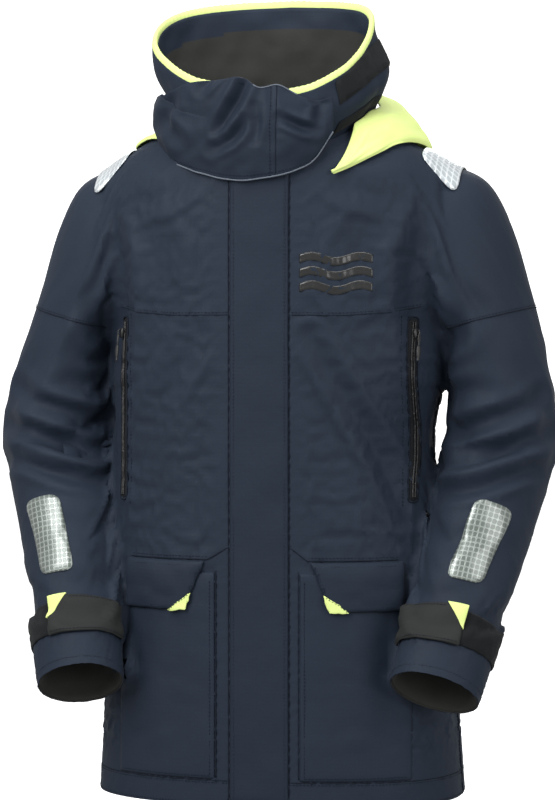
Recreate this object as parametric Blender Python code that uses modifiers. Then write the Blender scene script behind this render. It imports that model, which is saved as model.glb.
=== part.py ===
"""Foul weather jacket: shell panels, collar, hood, zips, flaps and sleeves as separate nodes."""
import math

import bmesh
import bpy
import numpy as np
from mathutils import Matrix, Vector

# ---- Driving dimensions, in metres. Heights are above the hem; +X is the wearer's left. ----
LOOP_POINT = (0.0, 0.036, 0.800)          # where a peg holds the jacket; the world origin
FRONT_LINE = 0.142                        # distance of the straight centre front from the garment axis

SHELL = 0.0025                            # laminated shell fabric with its lining
TRIM = 0.0012                             # tapes, patches and films
PANEL_GAP = 0.0012                        # between neighbouring panels
LAYER_GAP = 0.0020                        # between a sleeve and the armhole it sits in

HEM_HEIGHT = 0.030
YOKE_HEIGHT = 0.562
FULL_LEVEL_HEIGHTS = (0.0, 0.10, 0.25, 0.33, 0.43, 0.50, 0.56)
BODY_HALF_WIDTHS = (0.220, 0.213, 0.201, 0.194, 0.187, 0.190, 0.198)
BODY_BACK_DEPTHS = (0.150, 0.144, 0.135, 0.130, 0.126, 0.131, 0.135)

YOKE_LEVELS = (1.0, 1.2, 1.4, 1.6, 1.8, 2.0)
YOKE_SIDE_WIDTHS = (0.198, 0.210, 0.211, 0.197, 0.157, 0.108)
YOKE_SIDE_HEIGHTS = (0.562, 0.630, 0.692, 0.746, 0.776, 0.795)
YOKE_FRONT_HEIGHTS = (0.562, 0.606, 0.648, 0.688, 0.720, 0.748)
YOKE_BACK_HEIGHTS = (0.562, 0.622, 0.682, 0.735, 0.778, 0.810)
YOKE_BACK_DEPTHS = (0.135, 0.133, 0.124, 0.108, 0.088, 0.070)
YOKE_CENTRES = (0.0, 0.0, -0.004, -0.012, -0.022, -0.032)
SECTION_POWERS = (2.4, 2.4, 2.35, 2.25, 2.1, 2.0)

COLLAR_TOP_WIDTH = 0.148
COLLAR_TOP_BACK = 0.062
COLLAR_TOP_CENTRE = -0.040
COLLAR_TOP_ANGLES = (0.0, 30.0, 60.0, 90.0, 120.0, 150.0, 180.0)
COLLAR_TOP_HEIGHTS = (0.838, 0.852, 0.880, 0.905, 0.926, 0.936, 0.940)
COLLAR_FLARE = 1.6
BINDING_RADIUS = 0.0055

ZIP_HALF = 0.003
ZIP_TOP = 0.826
TAPE_WIDTH = 0.011
SLIDER_START = 0.800
SLIDER_TRAVEL = 0.74

FLAP_FREE_EDGE = -0.032
FLAP_SEWN_EDGE = 0.038
FLAP_TOP = 0.735
FLAP_BOTTOM = 0.006
FLAP_BACK_FACE = -0.1500
FLAP_THICK = 0.0026

SLEEVE_OUTER = ((0.186, 0.750), (0.226, 0.757), (0.258, 0.736), (0.283, 0.680),
                (0.300, 0.620), (0.316, 0.560), (0.331, 0.490), (0.339, 0.4236))
SLEEVE_INNER = ((0.122, 0.640), (0.118, 0.620), (0.126, 0.602), (0.143, 0.584),
                (0.172, 0.564), (0.199, 0.540), (0.205, 0.477), (0.203, 0.4236))
SLEEVE_CENTRES_Y = (0.004, 0.005, 0.006, 0.008, 0.009, 0.010, 0.009, 0.004)
SLEEVE_HALF_DEPTHS = (0.066, 0.082, 0.090, 0.087, 0.081, 0.077, 0.075, 0.075)

FOREARM_CENTRES = ((0.2708, 0.0040, 0.4224), (0.2660, -0.015, 0.390), (0.2605, -0.042, 0.340),
                   (0.2535, -0.074, 0.285), (0.2450, -0.106, 0.226), (0.2350, -0.1370, 0.167))
FOREARM_HALF_WIDTHS = (0.068, 0.064, 0.060, 0.057, 0.0555, 0.0535)
FOREARM_HALF_DEPTHS = (0.075, 0.073, 0.069, 0.063, 0.056, 0.049)
CUFF_CENTRES = ((0.2346, -0.1381, 0.1650), (0.2300, -0.1500, 0.1400), (0.2255, -0.1610, 0.1150))
CUFF_HALF_WIDTHS = (0.0535, 0.0520, 0.0500)
CUFF_HALF_DEPTHS = (0.049, 0.0465, 0.043)
WRIST_DIRECTION = (-0.150, -0.440, -0.885)

COLOURS = {
    "navy": ((0.022, 0.030, 0.045, 1.0), 0.62, 0.0),
    "navy_dark": ((0.018, 0.025, 0.038, 1.0), 0.66, 0.0),
    "lime": ((0.66, 0.86, 0.15, 1.0), 0.70, 0.0),
    "charcoal": ((0.040, 0.043, 0.043, 1.0), 0.80, 0.0),
    "black": ((0.012, 0.014, 0.016, 1.0), 0.55, 0.0),
    "hook_black": ((0.015, 0.018, 0.020, 1.0), 0.90, 0.0),
    "silver": ((0.55, 0.60, 0.61, 1.0), 0.35, 0.0),
    "emblem_black": ((0.010, 0.012, 0.015, 1.0), 0.25, 0.0),
}


def clear_scene():
    """Remove whatever the file starts with."""
    for thing in list(bpy.data.objects):
        bpy.data.objects.remove(thing, do_unlink=True)


def new_collection(name):
    """Make a collection under the scene's own."""
    made = bpy.data.collections.new(name)
    bpy.context.scene.collection.children.link(made)
    return made


clear_scene()
JACKET = new_collection("foul_weather_jacket")
CUTTERS = new_collection("cutters")

ROOT = bpy.data.objects.new("jacket_root", None)
ROOT.location = tuple(-value for value in LOOP_POINT)
JACKET.objects.link(ROOT)


# ---- Surfaces ----
def signed_power(value, power):
    """Raise a value's size to a power and keep its sign."""
    return math.copysign(abs(value) ** power, value)


def section_point(angle, width, front, back, centre, power):
    """Point on one flattened-oval section; angle 0 is the centre front, 90 degrees the +X side."""
    along_x = width * signed_power(math.sin(angle), 2.0 / power)
    reach = abs(math.cos(angle)) ** (2.0 / power)
    if math.cos(angle) >= 0.0:
        along_y = centre - (centre + front) * reach
    else:
        along_y = centre + (back - centre) * reach
    return along_x, along_y


def body_section(level):
    """Section sizes of the body at a level: 0 is the hem, 1 the yoke seam and 2 the neck seam."""
    if level <= 1.0:
        height = level * YOKE_HEIGHT
        width = float(np.interp(height, FULL_LEVEL_HEIGHTS, BODY_HALF_WIDTHS))
        back = float(np.interp(height, FULL_LEVEL_HEIGHTS, BODY_BACK_DEPTHS))
        return width, back, 0.0, SECTION_POWERS[0], height, height, height
    width = float(np.interp(level, YOKE_LEVELS, YOKE_SIDE_WIDTHS))
    back = float(np.interp(level, YOKE_LEVELS, YOKE_BACK_DEPTHS))
    centre = float(np.interp(level, YOKE_LEVELS, YOKE_CENTRES))
    power = float(np.interp(level, YOKE_LEVELS, SECTION_POWERS))
    side = float(np.interp(level, YOKE_LEVELS, YOKE_SIDE_HEIGHTS))
    front = float(np.interp(level, YOKE_LEVELS, YOKE_FRONT_HEIGHTS))
    rear = float(np.interp(level, YOKE_LEVELS, YOKE_BACK_HEIGHTS))
    return width, back, centre, power, side, front, rear


def body_point(angle, level):
    """Point on the body's outer surface."""
    width, back, centre, power, side, front, rear = body_section(level)
    along_x, along_y = section_point(angle, width, FRONT_LINE, back, centre, power)
    end = front if math.cos(angle) >= 0.0 else rear
    share = math.cos(angle) ** 2
    return Vector((along_x, along_y, side * (1.0 - share) + end * share))


def collar_point(angle, rise):
    """Point on the collar's outer surface: rise 0 is the neck seam and 1 the top edge."""
    low = body_point(angle, 2.0)
    degrees = abs(math.degrees(math.atan2(math.sin(angle), math.cos(angle))))
    top_height = float(np.interp(degrees, COLLAR_TOP_ANGLES, COLLAR_TOP_HEIGHTS))
    top_x, top_y = section_point(angle, COLLAR_TOP_WIDTH, FRONT_LINE, COLLAR_TOP_BACK,
                                 COLLAR_TOP_CENTRE, 2.0)
    flare = 1.0 - (1.0 - min(rise, 1.0)) ** COLLAR_FLARE
    return Vector((low.x + (top_x - low.x) * flare,
                   low.y + (top_y - low.y) * flare,
                   low.z + (top_height - low.z) * rise))


def offset_point(surface, first, second, distance):
    """Point at a distance outside a surface, along its own outward direction."""
    step = 0.004
    across = surface(first + step, second) - surface(first - step, second)
    up = surface(first, second + step) - surface(first, second - step)
    outward = across.cross(up)
    outward.normalize()
    return surface(first, second) + outward * distance


def body_angle(across, level):
    """Angle whose section point lies a given distance to the side, on the front."""
    width, _back, _centre, power, _side, _front, _rear = body_section(level)
    share = min(abs(across) / width, 1.0)
    return math.copysign(math.asin(min(1.0, share ** (power / 2.0))), across)


def front_place(across, height):
    """Angle and level of the front surface's point at a distance aside and a height."""
    low, high = 0.0, 2.0
    for _turn in range(40):
        middle = 0.5 * (low + high)
        if body_point(body_angle(across, middle), middle).z < height:
            low = middle
        else:
            high = middle
    return body_angle(across, low), low


def front_offset(across, height, distance):
    """Point outside the front surface, above a place given by its distance aside and height."""
    angle, level = front_place(across, height)
    return offset_point(body_point, angle, level, distance)


def spread(start, end, count):
    """Evenly spaced values from start to end, both included."""
    return [start + (end - start) * index / (count - 1) for index in range(count)]


# ---- Mesh helpers ----
def material_for(name, colour):
    """One material per piece."""
    base, roughness, metallic = COLOURS[colour]
    made = bpy.data.materials.new(name + "_material")
    made.use_nodes = True
    shader = made.node_tree.nodes["Principled BSDF"]
    shader.inputs["Base Color"].default_value = base
    shader.inputs["Roughness"].default_value = roughness
    shader.inputs["Metallic"].default_value = metallic
    return made


def add_object(name, mesh, colour, pivot=(0.0, 0.0, 0.0), cutter=False):
    """Place a mesh given in garment coordinates, with its origin on a pivot."""
    mesh.transform(Matrix.Translation(-Vector(pivot)))
    made = bpy.data.objects.new(name, mesh)
    made.parent = ROOT
    made.location = pivot
    if cutter:
        CUTTERS.objects.link(made)
        made.hide_render = True
        made.display_type = "WIRE"
        return made
    JACKET.objects.link(made)
    mesh.materials.append(material_for(name, colour))
    mesh.shade_smooth()
    return made


def mesh_from(name, points, faces):
    """Mesh from points and faces."""
    made = bpy.data.meshes.new(name)
    made.from_pydata([tuple(point) for point in points], [], faces)
    made.validate()
    return made


def rows_mesh(name, rows, looped=False, cap_first=False, cap_last=False):
    """Loft between rows of points; looped joins each row's ends, the caps close the ends."""
    count = len(rows[0])
    points = [point for row in rows for point in row]
    faces = []
    columns = count if looped else count - 1
    for row in range(len(rows) - 1):
        for column in range(columns):
            right = (column + 1) % count
            faces.append((row * count + column, row * count + right,
                          (row + 1) * count + right, (row + 1) * count + column))
    if cap_first:
        faces.append(tuple(reversed(range(count))))
    if cap_last:
        start = (len(rows) - 1) * count
        faces.append(tuple(range(start, start + count)))
    return mesh_from(name, points, faces)


def thicken(target, thickness, outward=False):
    """Give a surface its thickness, inwards unless told otherwise."""
    made = target.modifiers.new("thickness", "SOLIDIFY")
    made.thickness = thickness
    made.offset = 1.0 if outward else -1.0
    made.use_even_offset = True
    return made


def cut(target, cutter):
    """Cut one object with another."""
    made = target.modifiers.new("cut", "BOOLEAN")
    made.operation = "DIFFERENCE"
    made.solver = "EXACT"
    made.object = cutter
    return made


def body_patch(name, colour, starts, ends, levels, columns, thickness=SHELL, lift=0.0,
               pivot=(0.0, 0.0, 0.0)):
    """Patch of the body's surface; starts and ends give its edge angles at each level."""
    rows = []
    for level, start, end in zip(levels, starts, ends):
        rows.append([offset_point(body_point, angle, level, lift)
                     for angle in spread(start, end, columns)])
    made = add_object(name, rows_mesh(name, rows), colour, pivot)
    thicken(made, thickness)
    return made


def front_patch(name, colour, outline, lift, thickness, columns, pivot=(0.0, 0.0, 0.0)):
    """Patch on the front given by rows of (left, right, height), left and right along X."""
    rows = []
    for left, right, height in outline:
        rows.append([front_offset(across, height, lift) for across in spread(left, right, columns)])
    made = add_object(name, rows_mesh(name, rows), colour, pivot)
    thicken(made, thickness)
    return made


def box_mesh(name, centre, across, up, out, size):
    """Box with half sizes along three given directions."""
    points = []
    for first in (-1.0, 1.0):
        for second in (-1.0, 1.0):
            for third in (-1.0, 1.0):
                points.append(Vector(centre) + across * (first * size[0])
                              + up * (second * size[1]) + out * (third * size[2]))
    faces = [(0, 1, 3, 2), (4, 6, 7, 5), (0, 4, 5, 1), (2, 3, 7, 6), (0, 2, 6, 4), (1, 5, 7, 3)]
    made = mesh_from(name, points, faces)
    shaped = bmesh.new()
    shaped.from_mesh(made)
    bmesh.ops.recalc_face_normals(shaped, faces=shaped.faces)
    shaped.to_mesh(made)
    shaped.free()
    return made


def mirror_x(point):
    """The same point on the other side of the garment."""
    return Vector((-point[0], point[1], point[2]))


# ---- Sleeve surfaces, written for the +X side ----
def sleeve_ring(index, grow, count):
    """Ring of the upper sleeve at a station, seen from the shoulder end."""
    outer = Vector((SLEEVE_OUTER[index][0], 0.0, SLEEVE_OUTER[index][1]))
    inner = Vector((SLEEVE_INNER[index][0], 0.0, SLEEVE_INNER[index][1]))
    middle = (outer + inner) * 0.5 + Vector((0.0, SLEEVE_CENTRES_Y[index], 0.0))
    wide = (outer - inner) * 0.5
    wide = wide * (1.0 + grow / wide.length)
    deep = SLEEVE_HALF_DEPTHS[index] + grow
    ring = []
    for step in range(count):
        angle = 2.0 * math.pi * step / count
        ring.append(middle + wide * math.sin(angle) - Vector((0.0, deep * math.cos(angle), 0.0)))
    return ring


def arm_frame(centres, index):
    """Direction along the forearm and the two directions across it."""
    here = Vector(centres[index])
    before = Vector(centres[max(index - 1, 0)])
    after = Vector(centres[min(index + 1, len(centres) - 1)])
    along = (after - before).normalized()
    if index == 0:
        along = Vector((0.0, 0.0, -1.0))
    sideways = along.cross(Vector((0.0, 1.0, 0.0))).normalized()
    deepwise = sideways.cross(along).normalized()
    return here, along, sideways, deepwise


def forearm_point(angle, station, grow):
    """Point on the forearm at a station between 0 (elbow) and 5 (wrist); angle 0 is its front."""
    low = min(int(station), len(FOREARM_CENTRES) - 2)
    share = station - low
    points = []
    for index in (low, low + 1):
        here, _along, sideways, deepwise = arm_frame(FOREARM_CENTRES, index)
        wide = FOREARM_HALF_WIDTHS[index] + grow
        deep = FOREARM_HALF_DEPTHS[index] + grow
        points.append(here + sideways * (wide * math.sin(angle)) - deepwise * (deep * math.cos(angle)))
    return points[0].lerp(points[1], share)


def cuff_point(angle, station, grow):
    """Point on the cuff band at a station between 0 (wrist) and 2 (end)."""
    low = min(int(station), len(CUFF_CENTRES) - 2)
    share = station - low
    along = Vector(WRIST_DIRECTION).normalized()
    sideways = along.cross(Vector((0.0, 1.0, 0.0))).normalized()
    deepwise = sideways.cross(along).normalized()
    points = []
    for index in (low, low + 1):
        wide = CUFF_HALF_WIDTHS[index] + grow
        deep = CUFF_HALF_DEPTHS[index] + grow
        points.append(Vector(CUFF_CENTRES[index]) + sideways * (wide * math.sin(angle))
                      - deepwise * (deep * math.cos(angle)))
    return points[0].lerp(points[1], share)


def for_side(point, side):
    """A point of the +X side, or its mirror image."""
    return Vector(point) if side > 0 else mirror_x(point)


def ordered(row, side):
    """Row order that keeps faces pointing outwards on both sides."""
    return row if side > 0 else list(reversed(row))


SIDES = (("right", -1), ("left", 1))
RING = 20

# ---- Cutters ----
core_levels = [0.70, 0.85, 1.0, 1.1, 1.2, 1.3, 1.4, 1.5, 1.6, 1.7, 1.8, 1.9, 2.0]
core_rows = [[offset_point(body_point, 2.0 * math.pi * step / 48, level, LAYER_GAP)
              for step in range(48)] for level in core_levels]
core = add_object("body_core", rows_mesh("body_core", core_rows, True, True, True), "navy", cutter=True)

arm_cutters = {}
for label, side in SIDES:
    rows = [ordered([for_side(point, side) for point in sleeve_ring(index, LAYER_GAP, RING)], side)
            for index in range(6)]
    rows.reverse()
    arm_cutters[label] = add_object("armhole_" + label,
                                    rows_mesh("armhole_" + label, rows, True, True, True),
                                    "navy", cutter=True)

# ---- Body panels ----
HALF_GAP = PANEL_GAP * 0.5
SIDE_ANGLE = math.pi / 2.0
SIDE_STEP = 0.004
ZIP_EDGE = 0.006
low_levels = [HEM_HEIGHT / YOKE_HEIGHT] + spread(0.10, 0.80, 6) + [0.86, 0.93, 0.9985]
high_levels = [1.003, 1.1, 1.2, 1.3, 1.4, 1.5, 1.6, 1.7, 1.8, 1.9, 1.994]
hem_levels = [0.0, (HEM_HEIGHT - PANEL_GAP) / YOKE_HEIGHT]

for label, side in SIDES:
    for piece, levels, columns, armhole in (("front_panel_", low_levels, 12, True),
                                            ("front_yoke_", high_levels, 11, True),
                                            ("hem_band_", hem_levels, 12, False)):
        near = [body_angle(side * ZIP_EDGE, level) for level in levels]
        far = [side * (SIDE_ANGLE - SIDE_STEP)] * len(levels)
        starts, ends = (near, far) if side > 0 else (far, near)
        made = body_patch(piece + label, "navy", starts, ends, levels, columns)
        if armhole:
            cut(made, arm_cutters[label])

for piece, levels, armhole in (("back_panel", low_levels, True), ("back_yoke", high_levels, True),
                               ("hem_band_back", hem_levels, False)):
    starts = [SIDE_ANGLE + SIDE_STEP] * len(levels)
    ends = [3.0 * SIDE_ANGLE - SIDE_STEP] * len(levels)
    made = body_patch(piece, "navy", starts, ends, levels, 23)
    if armhole:
        cut(made, arm_cutters["right"])
        cut(made, arm_cutters["left"])


# ---- Collar ----
def collar_patch(name, colour, angles, rises, lift, thickness, pivot=(0.0, 0.0, 0.0)):
    """Patch of the collar; rises gives the low and high edge for every angle."""
    rows = []
    steps = len(rises[0])
    for step in range(steps):
        rows.append([offset_point(collar_point, angle, rise[step], lift)
                     for angle, rise in zip(angles, rises)])
    made = add_object(name, rows_mesh(name, rows), colour, pivot)
    thicken(made, thickness)
    return made


COLLAR_EDGE = math.radians(4.0)
collar_angles = spread(COLLAR_EDGE, 2.0 * math.pi - COLLAR_EDGE, 37)
collar_patch("collar_shell", "navy", collar_angles, [spread(0.008, 0.985, 6)] * 37, 0.0, SHELL)
collar_patch("collar_lining", "charcoal", collar_angles, [spread(0.008, 0.985, 6)] * 37,
             -(SHELL + 0.0037), 0.0020)

binding_line = bpy.data.curves.new("collar_binding_line", "CURVE")
binding_line.dimensions = "3D"
binding_line.bevel_depth = BINDING_RADIUS
binding_line.bevel_resolution = 1
binding_line.resolution_u = 1
binding_line.render_resolution_u = 0
binding_line.use_fill_caps = True
run = binding_line.splines.new("POLY")
binding_angles = spread(COLLAR_EDGE, 2.0 * math.pi - COLLAR_EDGE, 49)
run.points.add(len(binding_angles) - 1)
for knot, angle in zip(run.points, binding_angles):
    place = offset_point(collar_point, angle, 0.985, -(SHELL + 0.0018))
    knot.co = (place.x, place.y, place.z + BINDING_RADIUS + 0.0018, 1.0)
binding_holder = bpy.data.objects.new("collar_binding_path", binding_line)
CUTTERS.objects.link(binding_holder)
binding_mesh = bpy.data.meshes.new_from_object(
    binding_holder.evaluated_get(bpy.context.evaluated_depsgraph_get()))
bpy.data.objects.remove(binding_holder, do_unlink=True)
joined = bmesh.new()
joined.from_mesh(binding_mesh)
bmesh.ops.remove_doubles(joined, verts=joined.verts, dist=0.0001)
joined.to_mesh(binding_mesh)
joined.free()
add_object("collar_binding", binding_mesh, "lime")

patch_angles = spread(math.radians(40.0), math.radians(84.0), 7)
patch_rises = []
for angle in patch_angles:
    middle = 0.56 + 0.20 * (angle - patch_angles[0]) / (patch_angles[-1] - patch_angles[0])
    patch_rises.append([middle - 0.10, middle + 0.10])
collar_patch("collar_loop_patch", "hook_black", patch_angles, patch_rises, 0.0022, TRIM)

# ---- Hanger loop, inside the back of the neck ----
LOOP_HALF = 0.030
LOOP_BACK = 0.0575
LOOP_HEIGHT = 0.003
loop_rows = []
for height in (-LOOP_HEIGHT, LOOP_HEIGHT):
    row = []
    for step in range(13):
        turn = math.pi * step / 12.0
        row.append(Vector((LOOP_HALF * math.cos(turn),
                           LOOP_BACK - (LOOP_BACK - LOOP_POINT[1] + 0.001) * math.sin(turn) ** 0.7,
                           LOOP_POINT[2] + height)))
    loop_rows.append(row)
hanger = add_object("hanger_loop", rows_mesh("hanger_loop", loop_rows), "black")
thicken(hanger, TRIM, outward=True)

# ---- Main zip ----
FRONT = Vector((0.0, -1.0, 0.0))
ACROSS = Vector((1.0, 0.0, 0.0))
UPWARD = Vector((0.0, 0.0, 1.0))
tape_top, tape_low = ZIP_TOP, 0.004
for label, side in SIDES:
    centre = (side * (ZIP_HALF + 0.0005 + TAPE_WIDTH * 0.5), -FRONT_LINE + SHELL + 0.0021,
              (tape_top + tape_low) * 0.5)
    mesh = box_mesh("main_zip_tape_" + label, centre, ACROSS, UPWARD, FRONT,
                    (TAPE_WIDTH * 0.5, (tape_top - tape_low) * 0.5, 0.0004))
    add_object("main_zip_tape_" + label, mesh, "black")
mesh = box_mesh("main_zip_chain", (0.0, -FRONT_LINE + 0.0012, (tape_top + tape_low) * 0.5),
                ACROSS, UPWARD, FRONT, (ZIP_HALF, (tape_top - tape_low) * 0.5, 0.0014))
add_object("main_zip_chain", mesh, "black")
slider_pivot = (0.0, -FRONT_LINE - 0.0022, SLIDER_START)
mesh = box_mesh("main_slider", slider_pivot, ACROSS, UPWARD, FRONT, (0.0050, 0.0085, 0.0015))
add_object("main_slider", mesh, "black", slider_pivot)
mesh = box_mesh("main_pull", (0.0, -FRONT_LINE - 0.0048, SLIDER_START - 0.020),
                ACROSS, UPWARD, FRONT, (0.0028, 0.019, 0.0007))
add_object("main_pull", mesh, "black", slider_pivot)

# ---- Storm flap over the zip, with the raised seam it is sewn to ----
flap_middle = (FLAP_FREE_EDGE + FLAP_SEWN_EDGE) * 0.5
flap_tall = (FLAP_TOP - FLAP_BOTTOM) * 0.5
storm_pivot = (FLAP_SEWN_EDGE + 0.0004, FLAP_BACK_FACE - FLAP_THICK - 0.0004, flap_tall + FLAP_BOTTOM)
flap_rows = []
for height in spread(FLAP_BOTTOM, FLAP_TOP, 9):
    flap_rows.append([Vector((across, FLAP_BACK_FACE - FLAP_THICK, height))
                      for across in spread(FLAP_FREE_EDGE, FLAP_SEWN_EDGE, 5)])
storm = add_object("storm_flap", rows_mesh("storm_flap", flap_rows), "navy", storm_pivot)
thicken(storm, FLAP_THICK)
seam_depth = (FLAP_BACK_FACE - FLAP_THICK + FRONT_LINE + 0.0008) * 0.5
mesh = box_mesh("storm_flap_seam", (FLAP_SEWN_EDGE + 0.0045, -FRONT_LINE - 0.0008 + seam_depth,
                                    (0.700 + FLAP_BOTTOM) * 0.5),
                ACROSS, UPWARD, FRONT, (0.0032, (0.700 - FLAP_BOTTOM) * 0.5, abs(seam_depth)))
add_object("storm_flap_seam", mesh, "navy")

# ---- Face guard over the collar's front ----
GUARD_LIFT = 0.0100
GUARD_THICK = 0.0030
GUARD_RIGHT_EDGE = 0.046
guard_rows = []
for share in spread(0.0, 1.0, 6):
    row = []
    for step in range(17):
        turn = math.radians(-88.0) + (math.radians(17.5) - math.radians(-88.0)) * step / 16.0
        reach = 1.0 - abs(math.degrees(turn) + 15.0) / 100.0
        bottom = 0.02 + 0.05 * (1.0 - reach)
        top = 0.62 + 0.34 * reach
        rise = bottom + (top - bottom) * share
        point = offset_point(collar_point, turn, rise, GUARD_LIFT)
        point.x = min(point.x, GUARD_RIGHT_EDGE)
        row.append(point)
    guard_rows.append(row)
guard_pivot = (GUARD_RIGHT_EDGE + 0.0010, -0.1530, 0.795)
guard = add_object("face_guard", rows_mesh("face_guard", guard_rows), "navy", guard_pivot)
thicken(guard, GUARD_THICK)
guard_patch_angles = spread(math.radians(-86.0), math.radians(-77.0), 3)
collar_patch("face_guard_patch", "hook_black", guard_patch_angles, [[0.26, 0.56]] * 3,
             GUARD_LIFT + 0.0022, TRIM, guard_pivot)

# ---- Hood, folded down behind the collar ----
HOOD_LAYER = 0.004


def hood_section(angle, height_share, spread_share, bulk):
    """Closed outline of the rolled hood beside the collar, from the collar round to the shoulder."""
    inner_low = offset_point(collar_point, angle, 0.05, HOOD_LAYER)
    inner_high = offset_point(collar_point, angle, height_share, HOOD_LAYER)
    outer_level = 2.0 - spread_share
    outer_low = offset_point(body_point, angle, outer_level, HOOD_LAYER)
    outer_high = offset_point(body_point, angle, outer_level, HOOD_LAYER + bulk * 0.75)
    middle_low = offset_point(body_point, angle, 2.0 - spread_share * 0.5, HOOD_LAYER)
    crown = inner_high.lerp(outer_high, 0.5) + Vector((0.0, 0.0, bulk * 0.35))
    return [inner_low, middle_low, outer_low, outer_high, crown, inner_high]


for label, side in SIDES:
    rows = []
    for step in range(11):
        first = 24.0 if side > 0 else 94.0
        degrees = first + (136.0 - first) * step / 10.0
        fade = math.sin(math.pi * min(1.0, (degrees - 12.0) / 120.0) ** 0.9) ** 0.5 if degrees < 130 else 0.75
        ring = hood_section(math.radians(degrees), 0.12 + 0.20 * fade, 0.06 + 0.17 * fade, 0.006 + 0.018 * fade)
        rows.append(ordered([for_side(point, side) for point in ring], -side))
    add_object("hood_wing_" + label, rows_mesh("hood_wing_" + label, rows, True, True, True), "lime")

HOOD_PIVOT = (0.0, 0.046, 0.842)
hood_rows = []
for step in range(13):
    turn = math.radians(141.0) + math.radians(78.0) * step / 12.0
    fade = math.sin(math.pi * (0.12 + 0.76 * step / 12.0)) ** 0.7
    inside = [offset_point(collar_point, turn, rise, 0.0075) for rise in (0.085, 0.02)]
    inside += [offset_point(body_point, turn, level, 0.0065) for level in (1.92, 1.75, 1.55, 1.36)]
    outside = [offset_point(body_point, turn, level, 0.010 + depth * fade)
               for level, depth in ((1.27, 0.012), (1.36, 0.030), (1.55, 0.042), (1.75, 0.044), (1.92, 0.040))]
    hood_rows.append(inside + outside)
for row in hood_rows:
    row.reverse()
hood = add_object("hood_body", rows_mesh("hood_body", hood_rows), "lime", HOOD_PIVOT)
thicken(hood, 0.0020, outward=True)

# ---- Cargo pockets and their flaps ----
POCKET_INNER = 0.050
POCKET_OUTER = 0.152
POCKET_LOW = 0.034
POCKET_TOP = 0.266
POCKET_DEPTH = 0.0175
FLAP_TOP_HEIGHT = 0.282
FLAP_LOW_HEIGHT = 0.221
FLAP_LIFT = 0.0236
FLAP_OUTER = 0.147


def pocket_ring(height, side, shrink):
    """Closed outline of a cargo pocket at one height: front wall, then back wall."""
    outer_wall, inner_wall = [], []
    for across in spread(POCKET_INNER, POCKET_OUTER, 9):
        share = (across - POCKET_INNER) / (POCKET_OUTER - POCKET_INNER)
        bulge = min(1.0, 8.0 * share + 0.35, 8.0 * (1.0 - share) + 0.35)
        outer_wall.append(front_offset(across, height, 0.0015 + (POCKET_DEPTH - shrink) * bulge))
        inner_wall.append(front_offset(across, height, 0.0015))
    ring = outer_wall + list(reversed(inner_wall))
    return ordered([for_side(point, side) for point in ring], side)


def flap_rows_for(side, lift):
    """Rows of a cargo flap, from its low edge up to the edge it is sewn along."""
    rows = []
    for share in spread(0.0, 1.0, 4):
        height = FLAP_LOW_HEIGHT + (FLAP_TOP_HEIGHT - FLAP_LOW_HEIGHT) * share
        inner = 0.087 - 0.024 * share
        row = [front_offset(across, height, lift) for across in spread(inner, FLAP_OUTER, 9)]
        rows.append(ordered([for_side(point, side) for point in row], side))
    return rows


hinge_inner = front_offset(0.075, FLAP_TOP_HEIGHT, FLAP_LIFT)
hinge_outer = front_offset(0.155, FLAP_TOP_HEIGHT, FLAP_LIFT)
HINGE_LINE = (hinge_outer - hinge_inner).normalized()
HINGE_OUT = Vector((HINGE_LINE.y, -HINGE_LINE.x, 0.0)).normalized()
hinge_bulge = max((front_offset(across, FLAP_TOP_HEIGHT, FLAP_LIFT) - hinge_inner).dot(HINGE_OUT)
                  for across in spread(0.063, FLAP_OUTER, 15))
FLAP_HINGE = hinge_inner.lerp(hinge_outer, 0.5) + HINGE_OUT * (hinge_bulge + 0.0006)
FLAP_HINGE.z = FLAP_TOP_HEIGHT + 0.0006

for label, side in SIDES:
    rows = [pocket_ring(height, side, 0.0) for height in spread(POCKET_LOW, POCKET_TOP, 5)]
    mesh = rows_mesh("cargo_pocket_" + label, rows, True, True, False)
    pocket = add_object("cargo_pocket_" + label, mesh, "navy")
    thicken(pocket, 0.0016)
    pivot = for_side(FLAP_HINGE, side)
    flap = add_object("cargo_flap_" + label, rows_mesh("cargo_flap_" + label, flap_rows_for(side, FLAP_LIFT)),
                      "navy", pivot)
    thicken(flap, 0.0026)
    corner = [front_offset(0.0880, 0.2225, FLAP_LIFT + 0.0016), front_offset(0.1060, 0.2225, FLAP_LIFT + 0.0016),
              front_offset(0.0815, 0.2400, FLAP_LIFT + 0.0016)]
    points = ordered([for_side(point, side) for point in corner], side)
    mesh = mesh_from("cargo_flap_corner_" + label, points, [(0, 1, 2)])
    yellow = add_object("cargo_flap_corner_" + label, mesh, "lime", pivot)
    thicken(yellow, 0.0010)

# ---- Chest zips with sliders, cord pulls and inner bags ----
CHEST_TOP = (0.1725, 0.560)
CHEST_LOW = (0.1720, 0.360)
chest_high = front_offset(CHEST_TOP[0], CHEST_TOP[1], 0.0024)
chest_low = front_offset(CHEST_LOW[0], CHEST_LOW[1], 0.0024)
chest_angle, chest_level = front_place(0.171, 0.46)
chest_out = offset_point(body_point, chest_angle, chest_level, 1.0) - body_point(chest_angle, chest_level)
CHEST_DOWN = (chest_low - chest_high).normalized()
CHEST_ACROSS = CHEST_DOWN.cross(chest_out).normalized()
CHEST_OUT = CHEST_ACROSS.cross(CHEST_DOWN).normalized()
chest_middle = (chest_high + chest_low) * 0.5
chest_half = (chest_low - chest_high).length * 0.5
CHEST_SLIDER = chest_high + CHEST_DOWN * 0.012 + CHEST_OUT * 0.0029
CHEST_PULL = CHEST_SLIDER + CHEST_DOWN * 0.0062 + CHEST_OUT * 0.0033

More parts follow.
